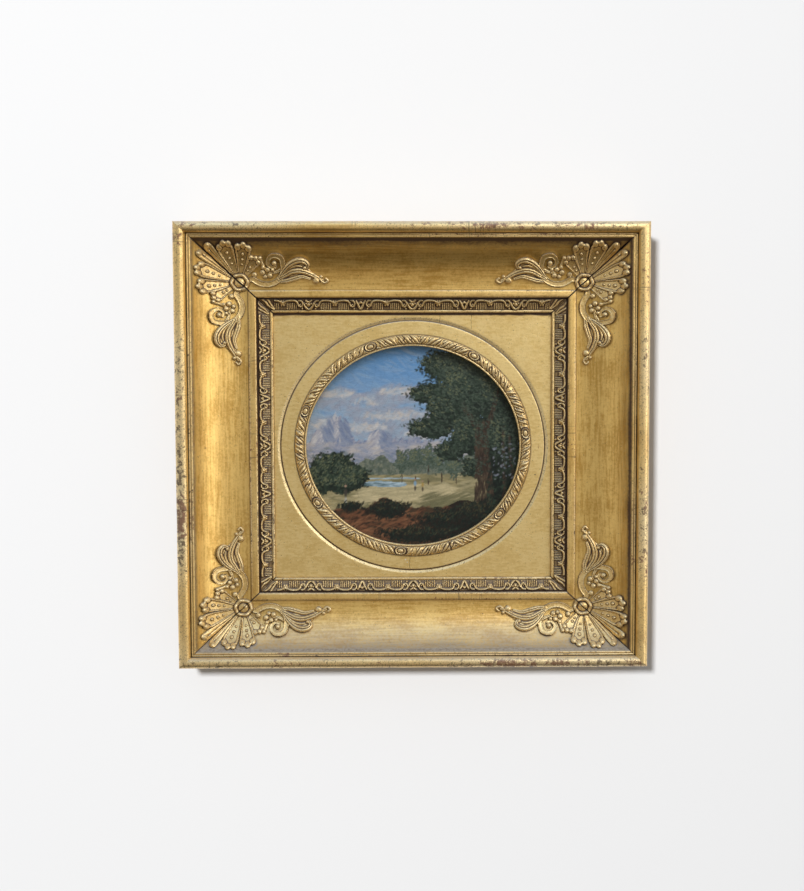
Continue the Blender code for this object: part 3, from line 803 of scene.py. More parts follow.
def add_arm(relief):
    """Scroll, flower and acanthus leaf along the rail that runs in x"""

    def stroke(knots, crest, **how):
        relief.stroke([(along, -out, half) for along, out, half in knots], crest, **how)

    def boss(along, out, radius, crest, **how):
        relief.boss(along, -out, radius, crest, **how)

    # Large scroll with its volute
    scroll = [(0.4, 8.4, 1.9), (4.4, 9.6, 2.3)]
    sweep = [(angle, 14.0, half) for angle, half in ((-128, 2.5), (-105, 2.6), (-80, 2.6), (-55, 2.5),
                                                     (-30, 2.4), (-5, 2.3))]
    volute = ((25, 6.9, 2.2), (60, 6.7, 2.05), (100, 6.3, 1.9), (140, 5.7, 1.75), (185, 5.0, 1.6),
              (235, 4.0, 1.4), (290, 3.0, 1.2))
    for along, out, turns in ((15.2, 18.9, sweep), (22.1, 23.1, volute)):
        for angle, radius, half in turns:
            scroll.append((along + radius * math.cos(math.radians(angle)),
                           out + radius * math.sin(math.radians(angle)), half))
    stroke(scroll, 2.6, end_crest=2.2, section=ribbon, steps=4)
    boss(22.0, 23.0, 2.2, 3.1)

    # Curl beside the rosette, with a short leaf
    boss(5.6, 13.2, 2.3, 2.7, dimple=0.15)
    stroke([(4.6, 10.0, 1.0), (5.2, 12.2, 1.4)], 2.0)

    # Flower, berries and tendrils within the scroll
    stroke([(11.2, 26.6, 1.5), (12.4, 22.6, 1.3), (14.4, 18.4, 1.2)], 1.9)
    boss(10.8, 27.0, 1.9, 2.6)
    stroke([(27.6, 17.8, 1.5), (23.0, 15.6, 1.3), (18.4, 15.0, 1.2)], 1.9, section=fluted)
    for along, out, radius in ((12.2, 15.2, 2.4), (16.4, 17.6, 2.2), (18.2, 12.6, 2.3), (14.4, 11.6, 1.9),
                               (12.9, 19.6, 1.7), (20.4, 17.4, 1.6)):
        boss(along, out, radius, 3.0, dimple=0.1)

    # Acanthus leaf: a low web under three curling lobes
    stroke([(25.5, 8.6, 2.0), (31.0, 14.0, 4.6), (38.0, 16.6, 5.4), (45.0, 16.8, 4.2), (52.0, 12.6, 2.4),
            (58.0, 9.6, 1.6)], 1.5)
    stroke([(30.0, 16.5, 2.6), (36.5, 20.5, 3.4), (42.5, 22.4, 3.2), (46.5, 21.0, 2.4)], 1.5)
    stroke([(24.0, 7.6, 1.5), (31.0, 7.9, 2.0), (37.5, 9.8, 2.1), (44.0, 11.5, 1.8), (50.5, 9.8, 1.2)], 2.8,
           end_crest=2.1, section=fluted)
    stroke([(25.2, 9.8, 1.5), (30.5, 12.8, 1.9), (36.0, 15.9, 2.3), (43.0, 16.6, 2.4), (50.0, 14.4, 2.1),
            (56.0, 11.0, 1.6), (61.0, 8.2, 1.2)], 3.4, end_crest=2.5, section=fluted)
    stroke([(26.5, 12.4, 1.4), (30.5, 18.2, 1.9), (35.5, 22.8, 2.4), (41.0, 25.2, 2.5), (46.0, 24.7, 2.2),
            (48.9, 22.0, 1.8), (47.9, 19.2, 1.5)], 3.5, end_crest=3.1, section=fluted)
    stroke([(29.6, 14.4, 0.8), (34.5, 19.0, 1.1), (40.0, 20.9, 1.1), (44.0, 20.4, 0.8)], 2.3)
    boss(46.4, 19.2, 1.7, 3.2)

    # Bud and curled end
    boss(55.4, 8.3, 2.9, 3.2, dimple=0.08)
    boss(59.4, 11.6, 1.5, 2.5)
    stroke([(58.5, 9.3, 1.1), (62.0, 6.3, 1.0), (65.0, 8.2, 1.0), (63.2, 10.2, 0.9)], 2.3)


def corner_relief():
    """Height and outline of the whole corner ornament on its grid"""
    cell = 0.35
    line = np.arange(-petal_reach, arm_reach, cell)
    x, y = np.meshgrid(line, line, indexing="ij")
    half = Relief(x, y)
    add_arm(half)
    for turn, length, half_tip in petals:
        add_petal(half, -turn, length, half_tip)
    relief = Relief(x, y)
    relief.height = np.maximum(half.height, half.height.T)
    relief.distance = np.minimum(half.distance, half.distance.T)

    # Rosette: a lobed ring round a dome and a ball
    reach = np.hypot(x + rosette_out, y + rosette_out)
    lobes = np.cos(6 * np.arctan2(y + rosette_out, x + rosette_out) + 0.8)
    ring = 0.6 + (2.65 + 0.35 * lobes) * domed((reach - 6.5 - 0.25 * lobes) / 1.6)
    dome = 0.5 + 2.2 * domed(reach / 4.5)
    ball = 0.9 + 2.7 * domed(np.hypot(x + rosette_out - 1.1, y + rosette_out - 1.1) / 2.6)
    inside = reach < rosette_radius + 0.25
    rosette = np.maximum(np.maximum(ring, dome), ball)
    relief.height = np.where(inside, rosette, relief.height)
    relief.distance = np.minimum(relief.distance, reach - rosette_radius)
    return cell, relief


def drop_corner_joins(kept):
    """Leave out cells that touch the rest only at a corner"""
    for _ in range(4):
        a, b = kept[:-1, :-1], kept[1:, 1:]
        c, d = kept[1:, :-1], kept[:-1, 1:]
        falling = a & b & ~c & ~d
        rising = c & d & ~a & ~b
        if not falling.any() and not rising.any():
            break
        kept[:-1, :-1] &= ~falling
        kept[1:, :-1] &= ~rising
    return kept


def relief_faces(relief, cell):
    """Cells of the grid inside the outline, their points moved onto it, and the outline's edges"""
    distance = relief.distance
    inside = distance < 0.45 * cell
    kept = inside[:-1, :-1] & inside[1:, :-1] & inside[:-1, 1:] & inside[1:, 1:]
    kept = drop_corner_joins(kept)
    columns = distance.shape[1]
    row, column = np.nonzero(kept)
    first = row * columns + column
    quads = np.stack([first, first + columns, first + columns + 1, first + 1], -1)
    used = np.unique(quads)
    number = np.full(distance.size, -1)
    number[used] = np.arange(len(used))
    quads = number[quads]
    edges = np.concatenate([quads[:, [0, 1]], quads[:, [1, 2]], quads[:, [2, 3]], quads[:, [3, 0]]])
    keys = np.sort(edges, axis=1)
    _, inverse, counts = np.unique(keys, axis=0, return_inverse=True, return_counts=True)
    rim = edges[counts[inverse.ravel()] == 1]
    gradient_x, gradient_y = np.gradient(distance, cell)
    slope = np.maximum(np.hypot(gradient_x, gradient_y), 0.3)
    on_rim = np.unique(rim)
    flat = used[on_rim]
    shift = np.clip(distance.ravel()[flat] / slope.ravel()[flat], -0.75 * cell, 0.75 * cell)
    plan = np.stack([relief.x.ravel()[used], relief.y.ravel()[used]], -1)
    plan[on_rim, 0] -= shift * gradient_x.ravel()[flat] / slope.ravel()[flat]
    plan[on_rim, 1] -= shift * gradient_y.ravel()[flat] / slope.ravel()[flat]
    return quads, used, plan, rim, on_rim, kept


def blurred(field, passes):
    for _ in range(passes):
        padded = np.pad(field, 1, mode="edge")
        field = (padded[1:-1, 1:-1] * 2 + padded[:-2, 1:-1] + padded[2:, 1:-1]
                 + padded[1:-1, :-2] + padded[1:-1, 2:]) / 6
    return field


def hollow_and_proud(height, fine, broad):
    """How deep or how proud each point lies beside what is round it"""
    level = np.maximum(height, 0.0)
    near = level - blurred(level, fine)
    far = level - blurred(level, broad)
    hollow = smoothstep(0.04, 0.62, -(near * 2.2 + far * 0.6))
    wear_and_highlight = smoothstep(0.05, 0.55, near * 1.4 + far * 0.55)
    return hollow, wear_and_highlight


def lean_on_cove(points, raised, side, end):
    """Places of a corner's points, raised from the cove and turned to the front"""
    x, y = points[:, 0], points[:, 1]
    across = cove_end + np.minimum(x, y)
    slope = cove_slope(across)
    lean_x, lean_y = np.sin(slope), np.cos(slope) + viewer_bias
    size = np.hypot(lean_x, lean_y)
    lean_x, lean_y = lean_x / size, lean_y / size
    share = np.clip(0.5 + (y - x) / mitre_blend, 0.0, 1.0)
    to_side = cove_end + x + raised * lean_x * share
    to_cross = cove_end + y + raised * lean_x * (1 - share)
    level = cove_height(np.minimum(across, cove_end)) + raised * lean_y
    return together(side * (half_width - to_side), -level,
                    centre_z + end * (half_height - to_cross * cross_share))


def underside_faces(plan, edges, relief, cell, kept):
    """Triangles between the points of the underside, within the outline"""
    points = [Vector(point) for point in plan]
    found = delaunay_2d_cdt(points, edges, [], 0, 1e-6, True)
    corners = np.array([point[:] for point in found[0]])
    middles = corners[np.array(found[2])].mean(axis=1)
    cells = np.clip(((middles - relief.x[0, 0]) / cell).astype(int), 0, kept.shape[0] - 1)
    return [[found[3][index][0] for index in triangle]
            for triangle, inside in zip(found[2], kept[cells[:, 0], cells[:, 1]]) if inside]


def make_corner(name, side, end, corner):
    cell, relief = corner_shape
    quads, used, plan, rim, on_rim, kept = relief_faces(relief, cell)
    height = np.where(relief.height < 0, relief_rim, relief.height)
    spread = together(relief.x, relief.y, 30.0 * corner)
    height += 0.10 * surface_noise.layered(spread, 5.0, 3) * smoothstep(0.5, 1.5, height)

    # Crack along the mitre
    along = (relief.x + relief.y) / math.sqrt(2)
    wander = 0.42 * mitre_noise.at(together(along, corner * 9.0, 0.0), 5.0)
    off = np.abs((relief.x - relief.y) / math.sqrt(2) + wander)
    width = ornament_gaps[corner] + 0.14 * mitre_noise.at(together(along, 5.0, corner), 4.0)
    crack = smoothstep(width + 0.25, width - 0.1, off)
    hollow, wear_and_highlight = hollow_and_proud(height * (relief.distance < 0.2), 3, 30)
    height = height * (1 - crack) - 0.4 * crack
    hollow = np.maximum(hollow, crack)
    wear_and_highlight = wear_and_highlight * (1 - crack)
    top = lean_on_cove(plan, ornament_gap + height.ravel()[used], side, end)

    # Plain underside, with a few points inside it so that it follows the cove
    row, column = np.divmod(used, relief.x.shape[1])
    every = 9
    inner = (row % every == 0) & (column % every == 0) & (relief.distance.ravel()[used] < -0.7)
    low_plan = np.vstack([plan[on_rim], plan[inner]])
    bottom = lean_on_cove(low_plan, ornament_seat, side, end)
    rank = np.full(len(used), -1)
    rank[on_rim] = np.arange(len(on_rim))
    low_rim = rank[rim]
    walls = np.stack([rim[:, 1], rim[:, 0], low_rim[:, 0] + len(used), low_rim[:, 1] + len(used)], -1)
    faces = quads.tolist() + walls.tolist()
    edges = [tuple(edge) for edge in low_rim.tolist()]
    for triangle in underside_faces(low_plan, edges, relief, cell, kept):
        faces.append([index + len(used) for index in triangle])

    spot = np.zeros((len(used) + len(low_plan), 3))
    spot[:len(used), :2] = plan * mm
    values = {"hollow": np.concatenate([hollow.ravel()[used], np.ones(len(low_plan))]),
              "wear_and_highlight": np.concatenate([wear_and_highlight.ravel()[used], np.zeros(len(low_plan))]), "place": spot}
    make_piece("ornament_" + name, "corner_" + name, np.vstack([top, bottom]), faces,
               [ornament_gilt], values=values, sharp=55)


def corner_distance(x, y):
    """Distance from the corner ornament's outline, for places measured from the cove's inner corner"""
    cell, relief = corner_shape
    start = relief.x[0, 0]
    last = relief.x.shape[0] - 1
    x, y = np.broadcast_arrays(x, y)
    column = np.clip(np.rint((x - start) / cell).astype(int), 0, last)
    row = np.clip(np.rint((y - start) / cell).astype(int), 0, last)
    return relief.distance[column, row]


# Carved band

band_repeat = 84.5
band_ground = 0.9
band_undercut = 0.85


def band_tile(x, y, kind):
    """One quarter of the running design, centred on a leaf cluster or on a bead"""
    tile = Relief(x, y)
    tile.height[:] = band_ground
    tile.distance[:] = -1.0
    if kind == "bead":
        tile.boss(0.0, 3.2, 1.5, 3.7, base=1.0)
        for number in range(6):
            angle = math.radians(60 * number)
            tile.boss(1.7 * math.cos(angle), 3.2 + 1.7 * math.sin(angle), 0.95, 2.7, base=1.0)
        return tile
    for side in (-1, 1):
        def knots(*places):
            return [(side * along, across, half) for along, across, half in places]

        # Cord along the outer edge, dipping at the bead, with flutes under it
        tile.stroke(knots((8.2, 5.6, 0.6), (8.8, 3.2, 0.8), (10.6, 1.5, 0.85), (14.0, 1.15, 0.8),
                          (17.6, 1.5, 0.8), (21.1, 2.7, 0.7), (24.6, 1.5, 0.8), (28.2, 1.15, 0.8),
                          (31.6, 1.5, 0.85), (33.4, 3.2, 0.8), (34.0, 5.6, 0.6)), 3.6, base=0.9)
        for start in (8.4, 23.0):
            for flute in range(6):
                along = start + 1.6 + 1.52 * flute
                tile.stroke(knots((along, 3.2, 0.42), (along, 8.0, 0.42)), 1.8, base=0.9, steps=1)
        if kind == "leaf":
            tile.stroke(knots((0.3, 7.8, 0.8), (1.3, 6.0, 1.0), (2.4, 3.6, 1.0), (3.6, 1.6, 0.8)), 3.5,
                        base=1.0)
            tile.boss(side * 1.1, 3.2, 0.8, 3.0, base=1.0)
        else:
            tile.stroke(knots((0.5, 8.0, 0.9), (2.0, 6.9, 1.0), (3.4, 5.0, 0.9), (4.0, 3.2, 0.7)), 3.6,
                        base=1.0)
            tile.boss(side * 2.0, 3.6, 0.9, 3.3, base=1.0)
            tile.stroke(knots((0.6, 2.2, 0.9), (2.4, 1.0, 0.7)), 2.9, base=1.0)
        tile.stroke(knots((8.2, 1.3, 0.6), (6.0, 1.5, 0.75), (4.7, 3.4, 0.8), (5.6, 5.6, 0.8),
                          (7.2, 5.8, 0.65), (7.6, 4.6, 0.5)), 3.3, base=1.0)
        tile.boss(side * 6.6, 4.2, 0.75, 2.7, base=1.0)
        tile.boss(side * 5.4, 7.4, 0.8, 2.4, base=1.0)
    if kind == "leaf":
        tile.boss(0.0, 2.6, 1.2, 3.0, base=1.0)
    else:
        tile.boss(0.0, 4.4, 1.6, 3.7, base=1.0)
        for side in (-1, 1):
            tile.boss(side * 1.7, 7.4, 0.9, 2.9, base=1.0)
    return tile


def band_height(along, across):
    """Height of the running design at places along and across the band"""
    step = 0.14
    result = np.full(along.shape, band_ground)
    line_x = np.arange(-34.5, 34.5, step)
    line_y = np.arange(-0.6, 9.2, step)
    x, y = np.meshgrid(line_x, line_y, indexing="ij")
    for kind, offset, period, reach in (("deep", 0.0, band_repeat, 34.0),
                                        ("leaf", band_repeat / 2, band_repeat, 34.0),
                                        ("bead", band_repeat / 4, band_repeat / 2, 4.0)):
        tile = band_tile(x, y, kind)
        local = (along - offset + period / 2) % period - period / 2
        i = (local - line_x[0]) / step
        j = (across - line_y[0]) / step
        inside = np.abs(local) < reach
        i0 = np.clip(i.astype(int), 0, len(line_x) - 2)
        j0 = np.clip(j.astype(int), 0, len(line_y) - 2)
        di, dj = np.clip(i - i0, 0, 1), np.clip(j - j0, 0, 1)
        h = tile.height
        value = (h[i0, j0] * (1 - di) * (1 - dj) + h[i0 + 1, j0] * di * (1 - dj)
                 + h[i0, j0 + 1] * (1 - di) * dj + h[i0 + 1, j0 + 1] * di * dj)
        result = np.where(inside, np.maximum(result, value), result)
    return result


def make_band(rail):
    half = rail_half_length(rail) - band_start
    columns = 30
    row_step = 0.36
    rows = int(half * 2 / row_step)
    across_line = np.linspace(-band_undercut, band_width - 0.12, columns)
    along = between_mitres(rail, np.linspace(-1.0, 1.0, rows), band_start + across_line)
    across = np.broadcast_to(across_line, along.shape)
    height = band_height(along, (across + band_undercut) * band_width / (band_width + band_undercut))

    # Slanted leaves at each mitre
    for side in (-1, 1):
        from_end = half - side * along
        leaf = np.abs(from_end - across - 3.4 - 0.5 * np.sin(across))
        second = np.abs(from_end - across * 0.6 - 7.6)
        leaves = np.maximum(2.7 - 0.9 * leaf ** 2, 2.5 - 1.1 * second ** 2)
        height = np.where(from_end < 12.5, np.maximum(band_ground, leaves), height)

    # Uneven casting, flattened by wear, and let down at both edges
    edge = smoothstep(-0.9, -0.4, across) * smoothstep(band_width, band_width - 0.4, across)
    spread = together(along, across, 50.0 + half)
    height = height + 0.10 * surface_noise.layered(spread, 3.0, 3)
    worn_flat = surface_noise.layered(spread + 200.0, 16.0, 2)
    height = np.minimum(height, 3.6 - 0.45 * smoothstep(0.2, 0.9, worn_flat))
    height = band_ground * 0.6 + (height - band_ground * 0.6) * edge
    hollow, wear_and_highlight = hollow_and_proud(height, 2, 16)
    hollow = np.minimum(1.0, hollow * 1.2 + 0.40 * smoothstep(1.5, 1.0, height))
    bed = band_outer_height - band_rise * across / band_width
    top = rail_places(rail, along, band_start + across, bed + height).reshape(-1, 3)
    low = rail_places(rail, along, band_start + across, bed - 0.2).reshape(-1, 3)
    faces, border = slab_faces(rows, columns)
    spot = together(along, across, height).reshape(-1, 3) * mm
    values = {"hollow": np.concatenate([hollow.ravel(), np.ones(len(border))]),
              "wear_and_highlight": np.concatenate([wear_and_highlight.ravel(), np.zeros(len(border))]),
              "place": np.vstack([spot, spot[border]])}
    make_piece("carved_band_" + rail, "band_" + rail, np.vstack([top, low[border]]), faces,
               [ornament_gilt], values=values)


# Ring moulding

ring_eyes = (57.4, 111.7, 160.8, 212.3, 263.5, 319.8, 6.7)
ring_seat = slip_front + 0.02


def oval_place(angle, offset, height):
    return together(np.cos(angle) * (oval_half_x + offset), -height,
                    centre_z + np.sin(angle) * (oval_half_z + offset))


def ring_pattern(x, y, length):
    """Leaf spray from one eye to the next; x runs along the ring and y across its half round"""
    tile = Relief(x, y)
    tile.height[:] = 0.0
    tile.distance[:] = -1.0

    def sprig(along, lean, crest, *knots):
        tile.stroke([(along + lean * ahead, side, half) for ahead, side, half in knots], crest, base=0.0)

    count = round(length / 5.6)
    step = length / count
    jitter = np.random.default_rng(int(length * 10))
    for number in range(count):
        lean = (1 if number < count / 2 else -1) * jitter.uniform(0.7, 1.4)
        along = (number + 0.5 + jitter.uniform(-0.22, 0.22)) * step
        full = jitter.uniform(0.8, 1.15)
        sprig(along, lean, 1.45, (-3.6, -3.1, 0.4), (-2.2, -2.3, 0.9 * full), (0.0, 0.1, 1.15 * full),
              (1.5, 1.9, 0.9 * full), (3.4, 2.9, 0.4))
        sprig(along, lean, 0.75, (-1.0, -3.0, 0.5), (0.6, -1.9, 0.75), (2.0, -0.4, 0.5))
        sprig(along, lean, 0.75, (-2.2, 0.6, 0.5), (-0.9, 2.1, 0.75), (0.3, 3.3, 0.5))
        tile.boss(along - lean * 2.7, 2.6, 0.7, 0.7, base=0.0)
        tile.boss(along + lean * 2.4, -2.6, 0.7, 0.7, base=0.0)
    for eye in (0.0, length):
        share = np.hypot((x - eye) / 4.4, y / 2.6)
        tile.height = np.where(share < 1.25, -0.25, tile.height)
        tile.height = np.where(share < 1.0, 1.35 - 1.3 * np.exp(-((share - 0.62) / 0.13) ** 2), tile.height)
    return tile.height


def ring_section(inner, outer, round_start, turns):
    """Offset, height and share of the relief for the points of the ring's section"""
    bow = np.linspace(math.pi, 0.0, turns)
    rise = np.sin(bow)
    middle, half = (round_start + outer) / 2, (outer - round_start) / 2
    lip = [(inner, 0.0), (inner, 0.75), (inner + 0.25, 1.0), (round_start - 0.35, 1.0),
           (round_start - 0.05, 0.6)]
    offsets = [offset for offset, height in lip] + list(middle + half * np.cos(bow)) + [outer]
    heights = [height for offset, height in lip] + list(0.35 + (ring_height - 1.8) * rise) + [0.0]
    on_round = [0.0] * len(lip) + list(rise ** 0.7) + [0.0]
    return np.array(offsets), np.array(heights), np.array(on_round), len(lip)


def make_ring():
    steps, turns = 1500, 22
    angle = np.linspace(0.0, math.tau, steps, endpoint=False)
    inner = -ring_overhang
    outer = inner + ring_width
    round_start = inner + 1.6
    half = (outer - round_start) / 2
    offsets, heights, on_round, lip = ring_section(inner, outer, round_start, turns)

    # The leaf design, drawn from each eye to the next one
    eyes = np.sort(np.radians(ring_eyes))
    mean = (oval_half_x + oval_half_z) / 2 + (round_start + outer) / 2
    arc = np.linspace(-half * 1.15, half * 1.15, turns)
    cell, margin = 0.16, 4.0
    full = np.zeros((steps, len(offsets)))
    for start, finish in zip(eyes, np.append(eyes[1:], eyes[0] + math.tau)):
        length = (finish - start) * mean
        x, y = np.meshgrid(np.arange(-margin, length + margin, cell), arc, indexing="ij")
        pattern = ring_pattern(x, y, length)
        local = ((angle - start) % math.tau) * mean
        inside = local <= length
        column = np.clip(((local[inside] + margin) / cell).astype(int), 0, len(x) - 1)
        full[inside, lip:lip + turns] = pattern[column][:, ::-1]

    # Joint in the ring, and a small loss near the bottom
    turn = np.degrees(angle)[:, None]
    joint = np.exp(-((turn - 289.0) / 0.35) ** 2)
    loss = np.exp(-((turn - 277.0) / 1.6) ** 2)
    tall = heights + (full - 0.9 * (joint + 0.8 * loss)) * on_round
    spread = oval_place(angle[:, None], offsets, heights)
    tall = np.maximum(tall + 0.09 * surface_noise.layered(spread, 4.0, 3) * on_round, 0.0)
    hollow, wear_and_highlight = hollow_and_proud(tall, 2, 14)
    hollow = np.maximum(hollow, joint * on_round)
    # Painted shade and dirt along the ring's inner step and along its outer foot on the slip
    hollow[:, lip - 1:lip + 1] = np.maximum(hollow[:, lip - 1:lip + 1], 0.8)
    hollow[:, -3:] = np.maximum(hollow[:, -3:], 0.75)
    places = np.concatenate([oval_place(angle[:, None], offsets, ring_seat + tall),
                             oval_place(angle[:, None], np.array([outer, inner]), ring_seat - 0.15)], axis=1)
    hollow = np.concatenate([hollow, np.ones((steps, 2))], axis=1)
    wear_and_highlight = np.concatenate([wear_and_highlight, np.zeros((steps, 2))], axis=1)
    spot = together((angle * mean)[:, None], np.append(offsets, [outer, inner]), 0.0)
    values = {"hollow": hollow.ravel(), "wear_and_highlight": wear_and_highlight.ravel(), "place": spot.reshape(-1, 3) * mm}
    make_piece("ring_moulding", "opening_ring", places.reshape(-1, 3),
               grid_faces(steps, len(offsets) + 2, closed=True), [ornament_gilt], values=values)


# Slip with its oval opening and the line round it

def make_slip():
    groove = oval_side_margin - groove_margin
    section = [(0.0, slip_back + 0.05), (0.0, slip_front - 0.3), (0.25, slip_front - 0.02)]
    for offset in np.linspace(1.5, groove - 2.8, 14):
        section.append((offset, slip_front + 0.12 * math.sin(math.pi * offset / groove)))
    section += [(groove - 2.1, slip_front + 0.04), (groove - 1.5, slip_front + 0.03),
                (groove - 1.2, slip_front - 0.22), (groove - 0.8, slip_front - 1.0),
                (groove - 0.4, slip_front - 1.1), (groove + 0.4, slip_front - 0.75),
                (groove + 1.1, slip_front - 0.35), (groove + 1.7, slip_front - 0.08),
                (groove + 2.3, slip_front)]
    offsets, heights = np.array(section).T
    inner_count = len(section)
    rows = 22

    # Rays from the oval to the edge, with the board's four corners among them
    corner_angle = math.atan2(insert_half_z / (oval_half_z + groove), insert_half_x / (oval_half_x + groove))
    marks = [-corner_angle, corner_angle, math.pi - corner_angle, math.pi + corner_angle,
             math.tau - corner_angle]
    side_rays = 110
    angles = np.concatenate([np.linspace(start, finish, side_rays, endpoint=False)
                             for start, finish in zip(marks, marks[1:])])
    rays = angles[:, None]
    inner = np.stack([np.cos(rays) * (oval_half_x + offsets), np.sin(rays) * (oval_half_z + offsets)], -1)
    last = inner[:, -1]
    reach = np.minimum(insert_half_x / np.maximum(np.abs(last[:, 0]), 1e-6),
                       insert_half_z / np.maximum(np.abs(last[:, 1]), 1e-6))
    edge = last * reach[:, None]
    shares = np.linspace(0.0, 1.0, rows + 1)[1:, None]
    outer = last[:, None, :] * (1 - shares) + edge[:, None, :] * shares
    plan = np.concatenate([inner, outer, edge[:, None, :], inner[:, :1]], axis=1)
    x, z = plan[..., 0], plan[..., 1]
    level = np.concatenate([heights, np.full(rows, slip_front), [slip_back, slip_back]])
    total = len(level)
    level = np.broadcast_to(level, x.shape)

    # Uneven gesso on the face
    world = together(x, -level, centre_z + z)
    soft = np.zeros(total)
    soft[2:inner_count + rows - 1] = 1.0
    level = level + soft * (0.07 * surface_noise.layered(world, 30.0, 3)
                            + 0.02 * surface_noise.layered(world + 90.0, 3.5, 2))
    level = np.minimum(level, slip_front + 0.25)
    world[..., 1] = -level

    # Dirt in the line, beside the ring and along the frame, and a painted shadow along the top under the
    # frame; wear with a painted highlight on both shoulders of the line
    line_hollow = np.zeros(total)
    line_hollow[:inner_count][(offsets > groove - 1.3) & (offsets < groove + 0.1)] = 0.7
    line_hollow[:inner_count][np.abs(offsets - (ring_width - ring_overhang)) < 0.9] = 0.55
    wear_and_highlight = np.zeros(total)
    wear_and_highlight[:inner_count][np.abs(offsets - (groove - 1.5)) < 0.6] = 0.6
    wear_and_highlight[:inner_count][np.abs(offsets - (groove + 1.1)) < 0.8] = 0.9
    from_edge = np.minimum(opening_half_x - np.abs(x), opening_half_z - np.abs(z))
    hollow = np.maximum(line_hollow, 0.6 * smoothstep(1.6, -0.2, from_edge))
    # Painted shadow along the top of the slip, under the frame's sight edge
    hollow = np.maximum(hollow, smoothstep(2.6, 1.2, opening_half_z - z))
    finish = np.zeros(x.shape, dtype=int)
    finish[:, inner_count + rows - 1:] = 1
    values = {"hollow": hollow.ravel(), "wear_and_highlight": np.tile(wear_and_highlight, len(angles)),
              "place": together(x, z, level).reshape(-1, 3) * mm}
    make_piece("gilt_slip", "slip", world.reshape(-1, 3),
               grid_faces(len(angles), total, closed=True), [slip_gilt, bare_wood], finish.ravel(), values)


# Painted panel

def mixed(first, second, share):
    return np.asarray(first) * share + np.asarray(second) * (1 - share)


class Canvas:
    """A picture laid on in dabs of a brush, on a grid of points in millimetres"""

    def __init__(self, half_x, half_z, step):
        self.x = np.arange(-half_x, half_x + step * 0.5, step)
        self.z = np.arange(-half_z, half_z + step * 0.5, step)
        self.across, self.up = np.meshgrid(self.x, self.z, indexing="ij")
        self.colour = np.zeros((len(self.x), len(self.z), 3))
        self.paint = np.zeros((len(self.x), len(self.z)))
        self.random = np.random.default_rng(7)

    def fill(self, inside, colour):
        """Lay a plain ground; inside is a function of the places across and up"""
        self.colour[inside(self.across, self.up)] = colour

    def dab(self, x, z, length, width, angle, colour, cover=0.8):
        """One touch of the brush, with its bristle streaks"""
        reach = max(length, width) * 1.1
        i0, i1 = np.searchsorted(self.x, (x - reach, x + reach))
        j0, j1 = np.searchsorted(self.z, (z - reach, z + reach))
        if i0 >= i1 or j0 >= j1:
            return
        dx = self.x[i0:i1, None] - x
        dz = self.z[None, j0:j1] - z
        u = (dx * math.cos(angle) + dz * math.sin(angle)) / length
        v = (-dx * math.sin(angle) + dz * math.cos(angle)) / width
        share = np.clip(1.25 * (1 - (u * u + v * v)), 0.0, 1.0) * cover
        streak = 1.0 + 0.10 * np.sin(v * 9.0 + x) * (share > 0)
        here = self.colour[i0:i1, j0:j1]
        here += (np.asarray(colour) * streak[..., None] - here) * share[..., None]
        self.paint[i0:i1, j0:j1] += share * (0.4 + 0.6 * np.abs(np.sin(v * 6.0 + z)))

    def dabs(self, count, where, length, width, angle, colours, cover=0.8, turn=0.3):
        """Many touches: where() gives a place, colours are mixed in pairs"""
        for _ in range(count):
            place = where(self.random)
            if place is None:
                continue
            first, second = self.random.integers(0, len(colours), 2)
            colour = mixed(colours[first], colours[second], self.random.uniform())
            size = self.random.uniform(0.7, 1.3)
            lean = angle(place) if callable(angle) else angle
            self.dab(*place, length * size, width * size, lean + self.random.normal(0, turn), colour, cover)


def blob(centre_x, middle_z, radius_x, radius_z, edge=0.25):
    """Random place in a ragged oval"""
    def where(random):
        turn = random.uniform(0, math.tau)
        reach = math.sqrt(random.uniform()) * (1 + edge * math.sin(turn * 5 + centre_x) * random.uniform())
        return centre_x + math.cos(turn) * reach * radius_x, middle_z + math.sin(turn) * reach * radius_z
    return where


def strip(left, right, low, high):
    """Random place between two heights, each a number or a function of the place across"""
    def where(random):
        x = random.uniform(left, right)
        bottom = low(x) if callable(low) else low
        top = high(x) if callable(high) else high
        if top <= bottom:
            return None
        return x, random.uniform(bottom, top)
    return where


picture_half_x = 89.0
picture_half_z = 83.0
picture_step = 0.59

# Colours of the picture
sky_blue = (0.10, 0.24, 0.47)
sky_pale = (0.27, 0.36, 0.47)
cloud_light = (0.52, 0.50, 0.50)
cloud_lilac = (0.24, 0.27, 0.35)
cloud_warm = (0.48, 0.42, 0.37)
rock_shade = (0.15, 0.19, 0.30)
rock_light = (0.32, 0.32, 0.38)
haze = (0.30, 0.30, 0.36)
leaf_black = (0.005, 0.009, 0.007)
leaf_dark = (0.010, 0.018, 0.013)
leaf_green = (0.026, 0.044, 0.028)
leaf_grey = (0.068, 0.092, 0.068)
leaf_light = (0.15, 0.16, 0.085)
bark = (0.022, 0.014, 0.010)
bark_light = (0.080, 0.052, 0.034)
meadow_light = (0.35, 0.30, 0.175)
meadow_deep = (0.165, 0.15, 0.078)
water_blue = (0.22, 0.31, 0.38)
water_dark = (0.06, 0.11, 0.13)
earth_red = (0.13, 0.052, 0.026)
earth_dark = (0.016, 0.010, 0.007)

# Ovals of leaf: middle across and up, half width, half height
crown_masses = ((54, 60, 36, 24), (28, 66, 22, 13), (17, 43, 21, 9), (15, 14, 20, 9), (34, 28, 24, 17),
                (50, 44, 28, 24), (31, -4, 13, 9), (53, 8, 24, 18), (74, 44, 20, 36), (80, 2, 17, 28),
                (52, -18, 11, 9))
bush_masses = ((-66, -18, 20, 13), (-50, -25, 14, 9), (-78, -28, 14, 13), (-60, -31, 20, 8))


